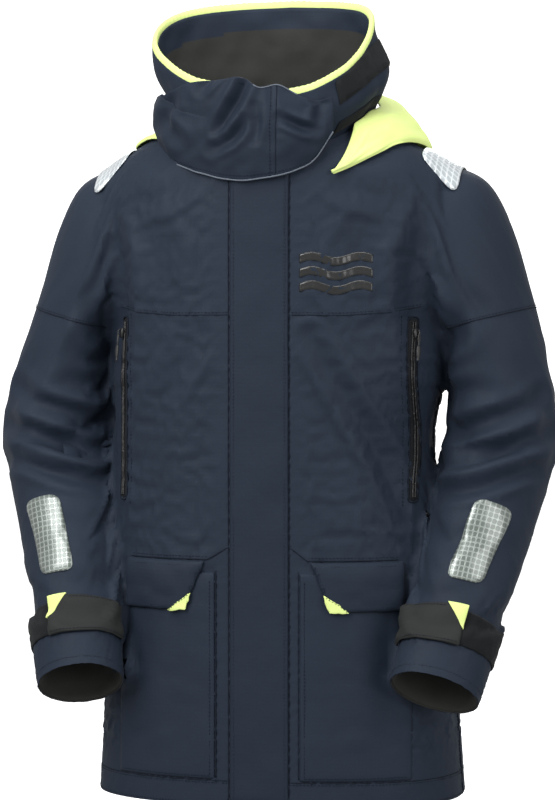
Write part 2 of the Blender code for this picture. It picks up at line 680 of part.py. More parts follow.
for label, side in SIDES:
    directions = [for_side(vector, side) for vector in (CHEST_ACROSS, CHEST_DOWN, CHEST_OUT)]
    mesh = box_mesh("chest_zip_" + label, for_side(chest_middle, side), *directions,
                    (0.0045, chest_half, 0.0009))
    add_object("chest_zip_" + label, mesh, "black")
    pivot = for_side(CHEST_SLIDER, side)
    mesh = box_mesh("chest_slider_" + label, pivot, *directions, (0.0045, 0.0080, 0.0016))
    add_object("chest_slider_" + label, mesh, "black", pivot)
    hang = for_side(CHEST_PULL, side)
    mesh = box_mesh("chest_pull_" + label, for_side(CHEST_PULL + CHEST_DOWN * 0.0165 + CHEST_OUT * 0.0005, side),
                    *directions, (0.0020, 0.0150, 0.0013))
    add_object("chest_pull_" + label, mesh, "black", hang)
    outline = [(0.070, 0.150, 0.345), (0.070, 0.152, 0.40), (0.072, 0.154, 0.46), (0.074, 0.156, 0.545)]
    if side < 0:
        outline = [(-far, -near, height) for near, far, height in outline]
    front_patch("chest_pocket_bag_" + label, "charcoal", outline, -(SHELL + 0.0016), 0.0022, 6)

# ---- Reflective patches and emblem on the body ----
for label, side in SIDES:
    rows = []
    for level in spread(1.66, 1.84, 4):
        row = [offset_point(body_point, math.radians(degrees), level, 0.0020)
               for degrees in spread(48.0, 128.0, 11)]
        rows.append(ordered([for_side(point, side) for point in row], side))
    made = add_object("shoulder_reflector_" + label, rows_mesh("shoulder_reflector_" + label, rows), "silver")
    thicken(made, 0.0008)

EMBLEM_LEFT = 0.050
EMBLEM_WIDE = 0.082
EMBLEM_LOW = 0.597
EMBLEM_BANDS = (0.0, 0.010, 0.0165, 0.0265, 0.033, 0.043)
emblem_points, emblem_faces = [], []
emblem_columns = spread(0.0, 1.0, 13)
for band in EMBLEM_BANDS:
    for share in emblem_columns:
        wave = 0.0032 * math.sin(2.0 * math.pi * share * 1.5)
        emblem_points.append(front_offset(EMBLEM_LEFT + EMBLEM_WIDE * share, EMBLEM_LOW + band + wave, 0.0016))
for band in range(len(EMBLEM_BANDS) - 1):
    for column in range(len(emblem_columns) - 1):
        if band % 2 == 1 and column > 0:
            continue
        start = band * len(emblem_columns) + column
        emblem_faces.append((start, start + 1, start + 1 + len(emblem_columns), start + len(emblem_columns)))
emblem_mesh = mesh_from("chest_emblem", emblem_points, emblem_faces)
trimmed = bmesh.new()
trimmed.from_mesh(emblem_mesh)
bmesh.ops.delete(trimmed, geom=[vertex for vertex in trimmed.verts if not vertex.link_faces], context="VERTS")
trimmed.to_mesh(emblem_mesh)
trimmed.free()
emblem = add_object("chest_emblem", emblem_mesh, "emblem_black")
thicken(emblem, 0.0008)


# ---- Sleeves ----
def arm_patch(name, colour, side, surface, starts, ends, stations, columns, lift, thickness, pivot):
    """Patch on a sleeve surface between two edge angles, in degrees, at each station."""
    rows = []
    for station, start, end in zip(stations, starts, ends):
        row = [surface(math.radians(degrees), station, lift) for degrees in spread(start, end, columns)]
        rows.append(ordered([for_side(point, side) for point in row], side))
    rows.reverse()
    made = add_object(name, rows_mesh(name, rows), colour, pivot)
    thicken(made, thickness)
    return made


SHOULDER_PIVOT = (0.186, 0.0, 0.774)
ELBOW_PIVOT = (0.2708, -0.0735, 0.4232)
TAB_STATIONS = (4.10, 4.36, 4.62, 4.88)
TAB_START = -84.0
TAB_END = 22.0
_here, WRIST_ALONG, _sideways, _deepwise = arm_frame(FOREARM_CENTRES, 5)
TAB_PIVOT = forearm_point(math.radians(TAB_START - 1.0), 4.49, 0.0062)

for label, side in SIDES:
    shoulder = for_side(SHOULDER_PIVOT, side)
    rows = [ordered([for_side(point, side) for point in sleeve_ring(index, 0.0, RING)], side)
            for index in range(8)]
    rows.reverse()
    sleeve = add_object("sleeve_" + label, rows_mesh("sleeve_" + label, rows, True), "navy", shoulder)
    thicken(sleeve, SHELL)
    cut(sleeve, core)

    elbow = for_side(ELBOW_PIVOT, side)
    rows = []
    for index in range(6):
        ring = [forearm_point(2.0 * math.pi * step / RING, float(index), 0.0) for step in range(RING)]
        rows.append(ordered([for_side(point, side) for point in ring], side))
    rows.reverse()
    forearm = add_object("forearm_" + label, rows_mesh("forearm_" + label, rows, True), "navy", elbow)
    thicken(forearm, SHELL)

    rows = []
    for station in (0.0, 1.0, 2.0):
        ring = [cuff_point(2.0 * math.pi * step / RING, station, 0.0) for step in range(RING)]
        rows.append(ordered([for_side(point, side) for point in ring], side))
    rows.reverse()
    cuff = add_object("cuff_band_" + label, rows_mesh("cuff_band_" + label, rows, True), "navy_dark", elbow)
    thicken(cuff, SHELL)

    rows = []
    for station in (-0.9, 0.0, 1.0, 1.75):
        ring = []
        for step in range(RING):
            angle = 2.0 * math.pi * step / RING
            if station < 0.0:
                ring.append(forearm_point(angle, 5.0 + station * 0.5, -0.0055))
            else:
                ring.append(cuff_point(angle, station, -0.0055))
        rows.append(ordered([for_side(point, side) for point in ring], side))
    rows.reverse()
    inner = add_object("inner_cuff_" + label, rows_mesh("inner_cuff_" + label, rows, True), "charcoal", elbow)
    thicken(inner, 0.0018)

    arm_patch("forearm_reflector_" + label, "silver", side, forearm_point,
              (27.0, 24.0, 18.0, 12.0), (75.0, 72.0, 66.0, 60.0), (2.05, 2.5, 3.0, 3.55), 7,
              0.0024, 0.0008, elbow)
    arm_patch("cuff_loop_strap_" + label, "hook_black", side, forearm_point,
              (30.0, 30.0, 30.0), (118.0, 118.0, 118.0), (4.20, 4.50, 4.80), 9, 0.0026, TRIM, elbow)
    tab_hinge = for_side(TAB_PIVOT, side)
    arm_patch("cuff_tab_" + label, "charcoal", side, forearm_point,
              [TAB_START] * 4, [TAB_END] * 4, TAB_STATIONS, 9, 0.0056, 0.0024, tab_hinge)
    corner = [forearm_point(math.radians(3.0), 4.12, 0.0076),
              forearm_point(math.radians(21.0), 4.12, 0.0076),
              forearm_point(math.radians(21.0), 4.46, 0.0076)]
    points = [for_side(point, side) for point in ordered(corner, -side)]
    mesh = mesh_from("cuff_tab_corner_" + label, points, [(0, 1, 2)])
    yellow = add_object("cuff_tab_corner_" + label, mesh, "lime", tab_hinge)
    thicken(yellow, 0.0010)
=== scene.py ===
"""Looks of the foul weather jacket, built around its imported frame."""

import math
from contextlib import contextmanager

import bmesh
import bpy
import numpy as np
from mathutils import Matrix, Vector, noise
from mathutils.bvhtree import BVHTree


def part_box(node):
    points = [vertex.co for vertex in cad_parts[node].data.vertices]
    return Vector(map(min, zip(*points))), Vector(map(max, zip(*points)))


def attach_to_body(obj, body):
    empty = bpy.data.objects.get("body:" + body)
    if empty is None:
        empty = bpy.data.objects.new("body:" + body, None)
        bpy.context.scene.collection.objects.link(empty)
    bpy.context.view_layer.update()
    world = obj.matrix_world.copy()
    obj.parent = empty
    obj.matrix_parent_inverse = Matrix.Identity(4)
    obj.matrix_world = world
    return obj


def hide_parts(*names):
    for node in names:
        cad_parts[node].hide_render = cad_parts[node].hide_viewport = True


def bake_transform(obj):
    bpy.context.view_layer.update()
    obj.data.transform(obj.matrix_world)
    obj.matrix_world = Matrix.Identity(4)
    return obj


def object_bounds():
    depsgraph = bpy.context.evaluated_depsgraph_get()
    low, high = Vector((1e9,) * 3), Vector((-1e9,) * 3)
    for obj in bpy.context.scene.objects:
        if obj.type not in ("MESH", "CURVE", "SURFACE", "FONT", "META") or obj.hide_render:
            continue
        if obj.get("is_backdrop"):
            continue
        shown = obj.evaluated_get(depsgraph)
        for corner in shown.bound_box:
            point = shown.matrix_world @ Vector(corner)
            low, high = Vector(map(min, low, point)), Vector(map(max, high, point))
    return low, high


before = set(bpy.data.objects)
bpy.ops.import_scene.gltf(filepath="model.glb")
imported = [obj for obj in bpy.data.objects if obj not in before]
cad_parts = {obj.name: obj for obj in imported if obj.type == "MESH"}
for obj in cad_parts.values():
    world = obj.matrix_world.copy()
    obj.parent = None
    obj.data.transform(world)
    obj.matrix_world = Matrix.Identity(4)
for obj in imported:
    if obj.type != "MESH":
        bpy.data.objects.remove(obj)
cad_low, cad_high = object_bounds()

# ---- Where the garment sits: its hem is at height 0, its centre front at y = -FRONT ----
FRONT = 0.142
SHIFT = Vector((0.0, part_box("hem_band_left")[0].y + FRONT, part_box("hem_band_back")[0].z))
LABELS = {-1: "right", 1: "left"}

BODY_HEIGHTS = (0.0, 0.10, 0.25, 0.33, 0.43, 0.50, 0.56)
BODY_WIDTHS = (0.220, 0.213, 0.201, 0.194, 0.187, 0.190, 0.198)
BODY_BACKS = (0.150, 0.144, 0.135, 0.130, 0.126, 0.131, 0.135)
YOKE_LEVELS = (1.0, 1.2, 1.4, 1.6, 1.8, 2.0)
YOKE_WIDTHS = (0.198, 0.210, 0.211, 0.197, 0.157, 0.108)
YOKE_SIDES = (0.562, 0.630, 0.692, 0.746, 0.776, 0.795)
YOKE_FRONTS = (0.562, 0.606, 0.648, 0.688, 0.720, 0.748)
YOKE_REARS = (0.562, 0.622, 0.682, 0.735, 0.778, 0.810)
YOKE_BACKS = (0.135, 0.133, 0.124, 0.108, 0.088, 0.070)
YOKE_CENTRES = (0.0, 0.0, -0.004, -0.012, -0.022, -0.032)
YOKE_POWERS = (2.4, 2.4, 2.35, 2.25, 2.1, 2.0)
YOKE_SEAM = 0.562

COLLAR_WIDTH = 0.148
COLLAR_BACK = 0.062
COLLAR_CENTRE = -0.040
COLLAR_ANGLES = (-180.0, -150.0, -120.0, -90.0, -60.0, -30.0, -12.0, 0.0, 12.0, 25.0, 40.0, 60.0, 80.0,
                 100.0, 120.0, 150.0, 180.0)
COLLAR_TOPS = (0.944, 0.940, 0.928, 0.902, 0.870, 0.838, 0.830, 0.828, 0.823, 0.828, 0.841, 0.862,
               0.888, 0.913, 0.929, 0.940, 0.944)
COLLAR_FLARE = 1.6

# Sleeve stations from inside the shoulder to past the cuff: middle, half width vector, half depth vector.
SLEEVE_STATIONS = (
    ((0.154, 0.004, 0.703), (0.032, 0.0, 0.060), (0.0, 0.066, 0.0)),
    ((0.172, 0.005, 0.6885), (0.054, 0.0, 0.0630), (0.0, 0.080, 0.0)),
    ((0.192, 0.006, 0.667), (0.065, 0.0, 0.064), (0.0, 0.087, 0.0)),
    ((0.213, 0.008, 0.632), (0.070, 0.0, 0.048), (0.0, 0.087, 0.0)),
    ((0.236, 0.009, 0.592), (0.064, 0.0, 0.028), (0.0, 0.081, 0.0)),
    ((0.2575, 0.010, 0.550), (0.0585, 0.0, 0.010), (0.0, 0.077, 0.0)),
    ((0.268, 0.009, 0.4835), (0.063, 0.0, 0.0065), (0.0, 0.075, 0.0)),
    ((0.2708, 0.004, 0.4230), (0.068, 0.0, 0.0), (0.0, 0.075, 0.0)),
    ((0.2605, -0.015, 0.390), (0.0645, 0.0, -0.004), (0.0, 0.069, -0.026)),
    ((0.2515, -0.042, 0.340), (0.0588, 0.0, -0.005), (0.0, 0.060, -0.034)),
    ((0.2405, -0.074, 0.285), (0.0560, 0.0, -0.007), (0.0, 0.054, -0.031)),
    ((0.2290, -0.106, 0.226), (0.0548, 0.0, -0.008), (0.0, 0.049, -0.027)),
    ((0.2155, -0.1370, 0.167), (0.0528, 0.0, -0.009), (0.0, 0.043, -0.0235)),
    ((0.2090, -0.1500, 0.1400), (0.0515, 0.0, -0.009), (0.0, 0.0410, -0.0225)),
    ((0.2035, -0.1610, 0.1150), (0.0495, 0.0, -0.009), (0.0, 0.0380, -0.0205)),
    ((0.1970, -0.1745, 0.0850), (0.0480, 0.0, -0.009), (0.0, 0.0370, -0.0200)),
)
CUFF_END = Vector((0.2090, -0.1492, 0.1392))
CUFF_CUT = Vector((-0.150, -0.560, -0.815)).normalized()
WRIST_LINE = Vector((-0.150, -0.440, -0.885)).normalized()
ARMHOLE_LIFT = 0.012

VOXEL = 0.0055
SIM_FRAMES = 14
SIM_CAP = 0.010
SHELL_THICK = 0.0016
DOUBLE_THICK = 0.0018
THIN_THICK = 0.0012


def unit(value):
    """A number held between 0 and 1."""
    return min(1.0, max(0.0, value))


def smooth_at(value, xs, ys):
    """Smooth curve through a table, at one value or an array of values."""
    xs, ys = np.asarray(xs, float), np.asarray(ys, float)
    slopes = np.gradient(ys, xs)
    index = np.clip(np.searchsorted(xs, value, side="right") - 1, 0, len(xs) - 2)
    step = xs[index + 1] - xs[index]
    t = np.clip((value - xs[index]) / step, 0.0, 1.0)
    low, high = ys[index], ys[index + 1]
    a, b = slopes[index] * step, slopes[index + 1] * step
    return (low * (2 * t ** 3 - 3 * t ** 2 + 1) + a * (t ** 3 - 2 * t ** 2 + t)
            + high * (3 * t ** 2 - 2 * t ** 3) + b * (t ** 3 - t ** 2))


def smooth_path(controls, count):
    """Even places along a row of control points, each with the smooth curve's point there."""
    columns = np.array(controls).T
    places = np.linspace(0.0, len(controls) - 1.0, count)
    curves = [smooth_at(places, np.arange(float(len(controls))), column) for column in columns]
    return [(place, Vector(line)) for place, line in zip(places, np.stack(curves, axis=1))]


def quick_curve(xs, ys, samples=500):
    """The smooth curve through a table as a fast function of one number."""
    low, high = float(xs[0]), float(xs[-1])
    values = [float(value) for value in smooth_at(np.linspace(low, high, samples), xs, ys)]
    values.append(values[-1])
    scale = (samples - 1) / (high - low)

    def curve(value):
        place = (min(max(value, low), high) - low) * scale
        index = int(place)
        return values[index] + (values[index + 1] - values[index]) * (place - index)
    return curve


BODY_CURVES = [quick_curve(BODY_HEIGHTS, table) for table in (BODY_WIDTHS, BODY_BACKS)]
YOKE_CURVES = [quick_curve(YOKE_LEVELS, table) for table in
               (YOKE_WIDTHS, YOKE_SIDES, YOKE_FRONTS, YOKE_REARS, YOKE_BACKS, YOKE_CENTRES, YOKE_POWERS)]
# How much further out the bent right sleeve stands at each height.
RIGHT_ELBOW_OUT_AT = quick_curve((0.05, 0.24, 0.32, 0.40, 0.45, 0.50, 0.56, 0.64, 0.80),
                                 (0.0, 0.001, 0.006, 0.014, 0.015, 0.012, 0.005, 0.0, 0.0))
# How much fuller the fabric hangs beside each arm, as a share of the half width.
FILL_HEIGHTS = (0.0, 0.12, 0.20, 0.34, 0.43, 0.49, 0.53, 0.562)
RIGHT_FILL_AT = quick_curve(FILL_HEIGHTS, (0.0, 0.01, 0.05, 0.06, 0.065, 0.06, 0.035, 0.0))
LEFT_FILL_AT = quick_curve(FILL_HEIGHTS, (0.0, 0.0, 0.01, 0.0, -0.025, 0.030, 0.045, 0.0))
COLLAR_TOP_AT = quick_curve(COLLAR_ANGLES, COLLAR_TOPS)
ARM_TABLE = np.array([[*middle, *wide, *deep] for middle, wide, deep in SLEEVE_STATIONS])
ARM_CURVES = [quick_curve(np.arange(float(len(ARM_TABLE))), column) for column in ARM_TABLE.T]


def arm_section(station):
    """Middle, half width and half depth of the +X sleeve at a station."""
    values = [curve(station) for curve in ARM_CURVES]
    return Vector(values[:3]), Vector(values[3:6]), Vector(values[6:])


def elbow_out(side, height, angle):
    """How far the bent right sleeve stands out at a height and an angle round it."""
    return RIGHT_ELBOW_OUT_AT(height) * (0.5 + 0.5 * math.sin(angle)) if side < 0 else 0.0


def section_point(angle, width, front, back, centre, power):
    """Point on one flattened-oval section; angle 0 is the centre front, 90 degrees the +X side."""
    along_x = width * math.copysign(abs(math.sin(angle)) ** (2.0 / power), math.sin(angle))
    reach = abs(math.cos(angle)) ** (2.0 / power)
    if math.cos(angle) >= 0.0:
        return along_x, centre - (centre + front) * reach
    return along_x, centre + (back - centre) * reach


def body_point(angle, level):
    """Point on the body: level 0 is the hem, 1 the yoke seam and 2 the neck seam."""
    if level <= 1.0:
        height = level * YOKE_SEAM
        width, back = (curve(height) for curve in BODY_CURVES)
        x, y = section_point(angle, width, FRONT, back, 0.0, YOKE_POWERS[0])
        fill = RIGHT_FILL_AT(height) if x < 0.0 else LEFT_FILL_AT(height)
        return Vector((x * (1.0 + fill), y, height))
    width, side, front, rear, back, centre, power = (curve(level) for curve in YOKE_CURVES)
    x, y = section_point(angle, width, FRONT, back, centre, power)
    end = front if math.cos(angle) >= 0.0 else rear
    share = math.cos(angle) ** 2
    return Vector((x, y, side * (1.0 - share) + end * share))


def collar_top(angle):
    """Height of the collar's top edge at an angle."""
    return COLLAR_TOP_AT(math.degrees(math.atan2(math.sin(angle), math.cos(angle))))


def collar_point(angle, rise):
    """Point on the collar: rise 0 is the neck seam and 1 the top edge."""
    low = body_point(angle, 2.0)
    top = collar_top(angle)
    x, y = section_point(angle, COLLAR_WIDTH, FRONT, COLLAR_BACK, COLLAR_CENTRE, 2.0)
    flare = 1.0 - (1.0 - unit(rise)) ** COLLAR_FLARE
    return Vector((low.x + (x - low.x) * flare, low.y + (y - low.y) * flare, low.z + (top - low.z) * rise))


def outside(surface, first, second, distance):
    """Point at a distance outside a surface."""
    step = 0.004
    across = surface(first + step, second) - surface(first - step, second)
    up = surface(first, second + step) - surface(first, second - step)
    return surface(first, second) + across.cross(up).normalized() * distance


def sleeve_rings(side, count, per_gap):
    """Rings along the whole sleeve, smoothly between its stations."""
    rings = []
    gaps = len(ARM_TABLE) - 1
    for station in np.linspace(0.0, gaps, gaps * per_gap + 1):
        middle, wide, deep = arm_section(station)
        ring = []
        for step in range(count):
            angle = math.tau * step / count
            point = middle + wide * math.sin(angle) - deep * math.cos(angle)
            point.x += elbow_out(side, point.z, angle)
            ring.append(Vector((side * point.x, point.y, point.z)))
        rings.append(ring if side > 0 else list(reversed(ring)))
    return rings


# ---- Mesh helpers ----
def linked(name, data):
    """New object in the scene."""
    made = bpy.data.objects.new(name, data)
    bpy.context.scene.collection.objects.link(made)
    return made


@contextmanager
def editing(mesh):
    """A mesh opened for editing and written back."""
    work = bmesh.new()
    work.from_mesh(mesh)
    yield work
    work.to_mesh(mesh)
    work.free()


def mesh_object(name, points, faces):
    """Mesh object from points in garment coordinates."""
    mesh = bpy.data.meshes.new(name)
    mesh.from_pydata([tuple(point) for point in points], [], faces)
    mesh.validate()
    mesh.shade_smooth()
    return linked(name, mesh)


def rows_object(name, rows, looped=False, cap_first=False, cap_last=False):
    """Loft between rows of points."""
    count = len(rows[0])
    faces = []
    for row in range(len(rows) - 1):
        for column in range(count if looped else count - 1):
            right = (column + 1) % count
            faces.append((row * count + column, row * count + right,
                          (row + 1) * count + right, (row + 1) * count + column))
    if cap_first:
        faces.append(tuple(reversed(range(count))))
    if cap_last:
        faces.append(tuple(range((len(rows) - 1) * count, len(rows) * count)))
    return mesh_object(name, [point for row in rows for point in row], faces)


def apply_all(target):
    """Replace an object's mesh by its evaluated one."""
    graph = bpy.context.evaluated_depsgraph_get()
    mesh = bpy.data.meshes.new_from_object(target.evaluated_get(graph))
    target.modifiers.clear()
    target.data = mesh
    return target


def coords(mesh):
    """Vertex coordinates as an array."""
    values = np.empty(len(mesh.vertices) * 3)
    mesh.vertices.foreach_get("co", values)
    return values.reshape(-1, 3)


def set_coords(mesh, values):
    """Write vertex coordinates back."""
    mesh.vertices.foreach_set("co", np.ascontiguousarray(values, dtype=np.float32).ravel())
    mesh.update()


def normals_of(mesh):
    """Vertex normals as an array."""
    values = np.empty(len(mesh.vertices) * 3)
    mesh.vertex_normals.foreach_get("vector", values)
    return values.reshape(-1, 3)


def face_outward(mesh):
    """Turn a closed mesh's faces outward."""
    with editing(mesh) as work:
        bmesh.ops.recalc_face_normals(work, faces=list(work.faces))


def relax(mesh, weights, turns):
    """Even out a mesh by moving vertices towards their neighbours' mean, by weight."""
    edges = np.empty(len(mesh.edges) * 2, dtype=np.int64)
    mesh.edges.foreach_get("vertices", edges)
    edges = edges.reshape(-1, 2)
    places = coords(mesh)
    degree = np.bincount(edges.ravel(), minlength=len(places))[:, None]
    for _turn in range(turns):
        total = np.zeros_like(places)
        np.add.at(total, edges[:, 0], places[edges[:, 1]])
        np.add.at(total, edges[:, 1], places[edges[:, 0]])
        places += (total / np.maximum(degree, 1) - places) * weights[:, None]
    set_coords(mesh, places)


def smoothstep(values, low, high):
    """Smooth ramp from 0 at low to 1 at high."""
    t = np.clip((values - low) / (high - low), 0.0, 1.0)
    return t * t * (3.0 - 2.0 * t)


# ---- The shell: body and sleeves as one skin ----
def build_shell_volume():
    """Body and sleeves joined into one closed skin of even faces."""
    levels = [-0.05] + list(np.linspace(0.0, 1.0, 15)) + list(np.linspace(1.08, 2.0, 14))
    rows = []
    for level in levels:
        row = [body_point(math.tau * step / 96, max(level, 0.0)) for step in range(96)]
        if level < 0.0:
            row = [Vector((point.x, point.y, -0.03)) for point in row]
        rows.append(row)
    rows.append([Vector((p.x, p.y, p.z + 0.03)) for p in rows[-1]])
    body = rows_object("shell", rows, True, True, True)
    for side in (-1, 1):
        rings = sleeve_rings(side, 56, 4)
        rings.reverse()
        sleeve = rows_object("sleeve_volume", rings, True, True, True)
        joint = body.modifiers.new("join", "BOOLEAN")
        joint.operation = "UNION"
        joint.solver = "EXACT"
        joint.object = sleeve
        apply_all(body)
        bpy.data.objects.remove(sleeve, do_unlink=True)
    voxels = body.modifiers.new("even", "REMESH")
    voxels.mode = "VOXEL"
    voxels.voxel_size = VOXEL
    apply_all(body)
    return body


# Creases that handling has left in the fabric: line points (across, height), half width and depth inwards.
FRONT_CREASES = (
    (((0.062, 0.545), (0.100, 0.480), (0.140, 0.405), (0.168, 0.335)), 0.010, 0.0075),
    (((0.060, 0.500), (0.085, 0.440), (0.100, 0.360)), 0.016, 0.0025),
    (((-0.075, 0.545), (-0.120, 0.470), (-0.155, 0.380)), 0.014, 0.0035),
    (((-0.050, 0.480), (-0.070, 0.400), (-0.080, 0.310)), 0.015, 0.0022),
    (((0.195, 0.690), (0.178, 0.640), (0.176, 0.580), (0.184, 0.520)), 0.014, 0.0075),
    (((-0.195, 0.690), (-0.178, 0.640), (-0.176, 0.580), (-0.184, 0.520)), 0.014, 0.0060),
    (((0.150, 0.700), (0.120, 0.655), (0.105, 0.600)), 0.018, 0.0030),
    (((-0.150, 0.700), (-0.125, 0.650), (-0.115, 0.590)), 0.018, 0.0028),
    (((0.075, 0.735), (0.110, 0.715), (0.150, 0.705)), 0.012, 0.0030),
    (((-0.075, 0.735), (-0.110, 0.712), (-0.150, 0.700)), 0.012, 0.0028),
    (((0.150, 0.245), (0.155, 0.150), (0.150, 0.050)), 0.018, 0.0035),
    (((-0.150, 0.245), (-0.156, 0.150), (-0.150, 0.050)), 0.018, 0.0032),
)
# Creases of the arms: points in the +X sleeve's own turn (degrees from the front) and height.
ARM_CREASES = (
    (((-80.0, 0.440), (-30.0, 0.446), (20.0, 0.466), (60.0, 0.486)), 0.0085, 0.0100),
    (((-70.0, 0.402), (-20.0, 0.412), (30.0, 0.436), (75.0, 0.440)), 0.0085, 0.0110),
    (((-60.0, 0.366), (-10.0, 0.380), (40.0, 0.400), (80.0, 0.396)), 0.0085, 0.0080),
    (((-85.0, 0.500), (-45.0, 0.485), (-5.0, 0.492)), 0.010, 0.0065),
    (((-95.0, 0.560), (-60.0, 0.540), (-25.0, 0.555), (5.0, 0.590)), 0.012, 0.0075),
    (((-30.0, 0.650), (0.0, 0.610), (25.0, 0.560)), 0.014, 0.0035),
    (((30.0, 0.530), (55.0, 0.480), (70.0, 0.430)), 0.014, 0.0035),
    (((-60.0, 0.330), (-20.0, 0.318), (15.0, 0.330)), 0.012, 0.0035),
    (((-70.0, 0.262), (-25.0, 0.255), (10.0, 0.262)), 0.011, 0.0030),
    (((100.0, 0.520), (140.0, 0.500), (175.0, 0.515)), 0.014, 0.0035),
    (((110.0, 0.400), (150.0, 0.410), (190.0, 0.400)), 0.014, 0.0035),
)


def crease_depths(points, line, half_width, depth):
    """Inward depth at flat points from one crease line: a valley with a low ridge on each side."""
    nearest = np.full(len(points), 1e9)
    along = np.zeros(len(points))
    total = sum(math.dist(a, b) for a, b in zip(line, line[1:]))
    passed = 0.0
    for start, end in zip(line, line[1:]):
        start, end = np.array(start), np.array(end)
        span = end - start
        length = float(np.linalg.norm(span))
        t = np.clip(((points - start) @ span) / length ** 2, 0.0, 1.0)
        gap = np.linalg.norm(points - (start + t[:, None] * span), axis=1)
        closer = gap < nearest
        nearest = np.where(closer, gap, nearest)
        along = np.where(closer, passed + t * length, along)
        passed += length
    share = along / total
    fade = np.sin(np.pi * np.clip(share * 0.86 + 0.07, 0.0, 1.0)) ** 0.8
    ratio = nearest / half_width
    return depth * fade * (np.exp(-ratio ** 2) - 0.55 * np.exp(-((ratio - 1.9) / 0.8) ** 2))


def arm_turn(places):
    """Each point's turn round the sleeve's middle line, in degrees from the front."""
    middles = ARM_TABLE[np.argsort(ARM_TABLE[:, 2]), :3]
    centre_x = np.interp(places[:, 2], middles[:, 2], middles[:, 0])
    centre_y = np.interp(places[:, 2], middles[:, 2], middles[:, 1])
    return np.degrees(np.arctan2(np.abs(places[:, 0]) - centre_x, centre_y - places[:, 1]))


def press_creases(mesh, body_distance):
    """Move the skin's points along their normals to lay in the creases."""
    places, outward_way = coords(mesh), normals_of(mesh)
    on_arm = smoothstep(body_distance, 0.004, 0.016)
    depth = np.zeros(len(places))
    facing = smoothstep(-outward_way[:, 1], 0.05, 0.45) * (1.0 - 0.7 * on_arm)
    flat = places[:, [0, 2]]
    for line, half_width, deep in FRONT_CREASES:
        depth += facing * crease_depths(flat, line, half_width, deep)
    turn = arm_turn(places)
    for side, twist in ((1, 0.0), (-1, 9.0)):
        mine = (np.sign(places[:, 0]) == side) * on_arm
        turned = np.stack([(turn + twist) * 0.0012, places[:, 2]], axis=1)
        for line, half_width, deep in ARM_CREASES:
            scaled = [(degrees * 0.0012, height + twist * 0.0006) for degrees, height in line]
            depth += mine * crease_depths(turned, scaled, half_width, deep)
    set_coords(mesh, places - outward_way * depth[:, None])


def body_tree():
    """Search tree of the body's own surface, without sleeves."""
    rows = [[body_point(math.tau * step / 96, level) for step in range(97)]
            for level in np.linspace(0.0, 2.0, 40)]
    made = rows_object("body_guide", rows)
    tree = BVHTree.FromPolygons([v.co for v in made.data.vertices],
                                [tuple(p.vertices) for p in made.data.polygons])
    bpy.data.objects.remove(made, do_unlink=True)
    return tree


BODY_GUIDE = body_tree()


def distance_outside_body(places):
    """How far each point stands outside the body's own surface."""
    values = np.empty(len(places))
    for index, place in enumerate(places):
        near, normal, _face, gap = BODY_GUIDE.find_nearest(Vector(place))
        values[index] = math.copysign(gap, (Vector(place) - near).dot(normal))
    return values


def settle(target, held, frames, cap, growth, gravity, bending, tension=14.0):
    """Let cloth simulation buckle a skin a little, elastically held to its shape, and keep the result."""
    group = target.vertex_groups.new(name="held")
    steps = np.round(held * 20.0) / 20.0
    for value in np.unique(steps):
        group.add(np.nonzero(steps == value)[0].tolist(), float(value), "REPLACE")
    start = coords(target.data)
    cloth = target.modifiers.new("cloth", "CLOTH")
    for setting, value in {"quality": 4, "mass": 0.25, "air_damping": 2.0, "tension_stiffness": tension,
                           "compression_stiffness": tension, "shear_stiffness": tension * 0.5,
                           "bending_stiffness": bending, "vertex_group_mass": "held", "pin_stiffness": 1.0,
                           "shrink_min": -growth}.items():
        setattr(cloth.settings, setting, value)
    cloth.settings.effector_weights.gravity = gravity
    cloth.collision_settings.use_collision = False
    cloth.collision_settings.use_self_collision = False
    cloth.point_cache.frame_start = 1
    cloth.point_cache.frame_end = frames
    scene = bpy.context.scene
    for step in range(1, frames + 1):
        scene.frame_set(step)
    apply_all(target)
    scene.frame_set(1)
    moved = coords(target.data) - start
    size = np.linalg.norm(moved, axis=1)[:, None]
    set_coords(target.data, start + moved * np.minimum(1.0, cap / np.maximum(size, 1e-9)))
    target.vertex_groups.clear()


def cut_along(mesh, field, keep=None):
    """Cut a mesh where a field is 0; keep 1 or -1 keeps only that sign's side."""
    with editing(mesh) as work:
        home = work.verts.layers.float_vector.new("home")
        for vertex, amount in zip(work.verts, field):
            vertex[home] = vertex.co
            vertex.co = (amount, vertex.co.y, vertex.co.z)
        bmesh.ops.bisect_plane(work, geom=[*work.verts, *work.edges, *work.faces], dist=1e-7,
                               plane_co=(0.0, 0.0, 0.0), plane_no=(1.0, 0.0, 0.0),
                               clear_outer=keep == -1, clear_inner=keep == 1)
        for vertex in work.verts:
            vertex.co = vertex[home]
        work.verts.layers.float_vector.remove(home)
    mesh.update()


shell = build_shell_volume()
places = coords(shell.data)
near_armhole = np.exp(-((np.abs(places[:, 0]) - 0.20) / 0.035) ** 2) * smoothstep(places[:, 2], 0.56, 0.66)
relax(shell.data, np.full(len(places), 0.3), 6)
relax(shell.data, 0.5 * near_armhole, 36)
distance = distance_outside_body(coords(shell.data))
press_creases(shell.data, distance)
places = coords(shell.data)
on_arm = smoothstep(distance, 0.004, 0.02)
held = 0.30 - 0.18 * on_arm
for firmer in (0.6 * smoothstep(places[:, 2], 0.68, 0.76) * (1.0 - on_arm),
               0.92 * (1.0 - smoothstep(places[:, 2], 0.030, 0.10)),
               0.85 * np.exp(-(places[:, 0] / 0.060) ** 4) * (places[:, 1] < 0.0),
               smoothstep(places[:, 2], 0.765, 0.79),
               0.85 * on_arm * (1.0 - smoothstep(places[:, 2], 0.16, 0.24))):
    held = np.maximum(held, firmer)
settle(shell, np.clip(held, 0.0, 1.0), SIM_FRAMES, SIM_CAP, 0.030, 0.5, 1.5)

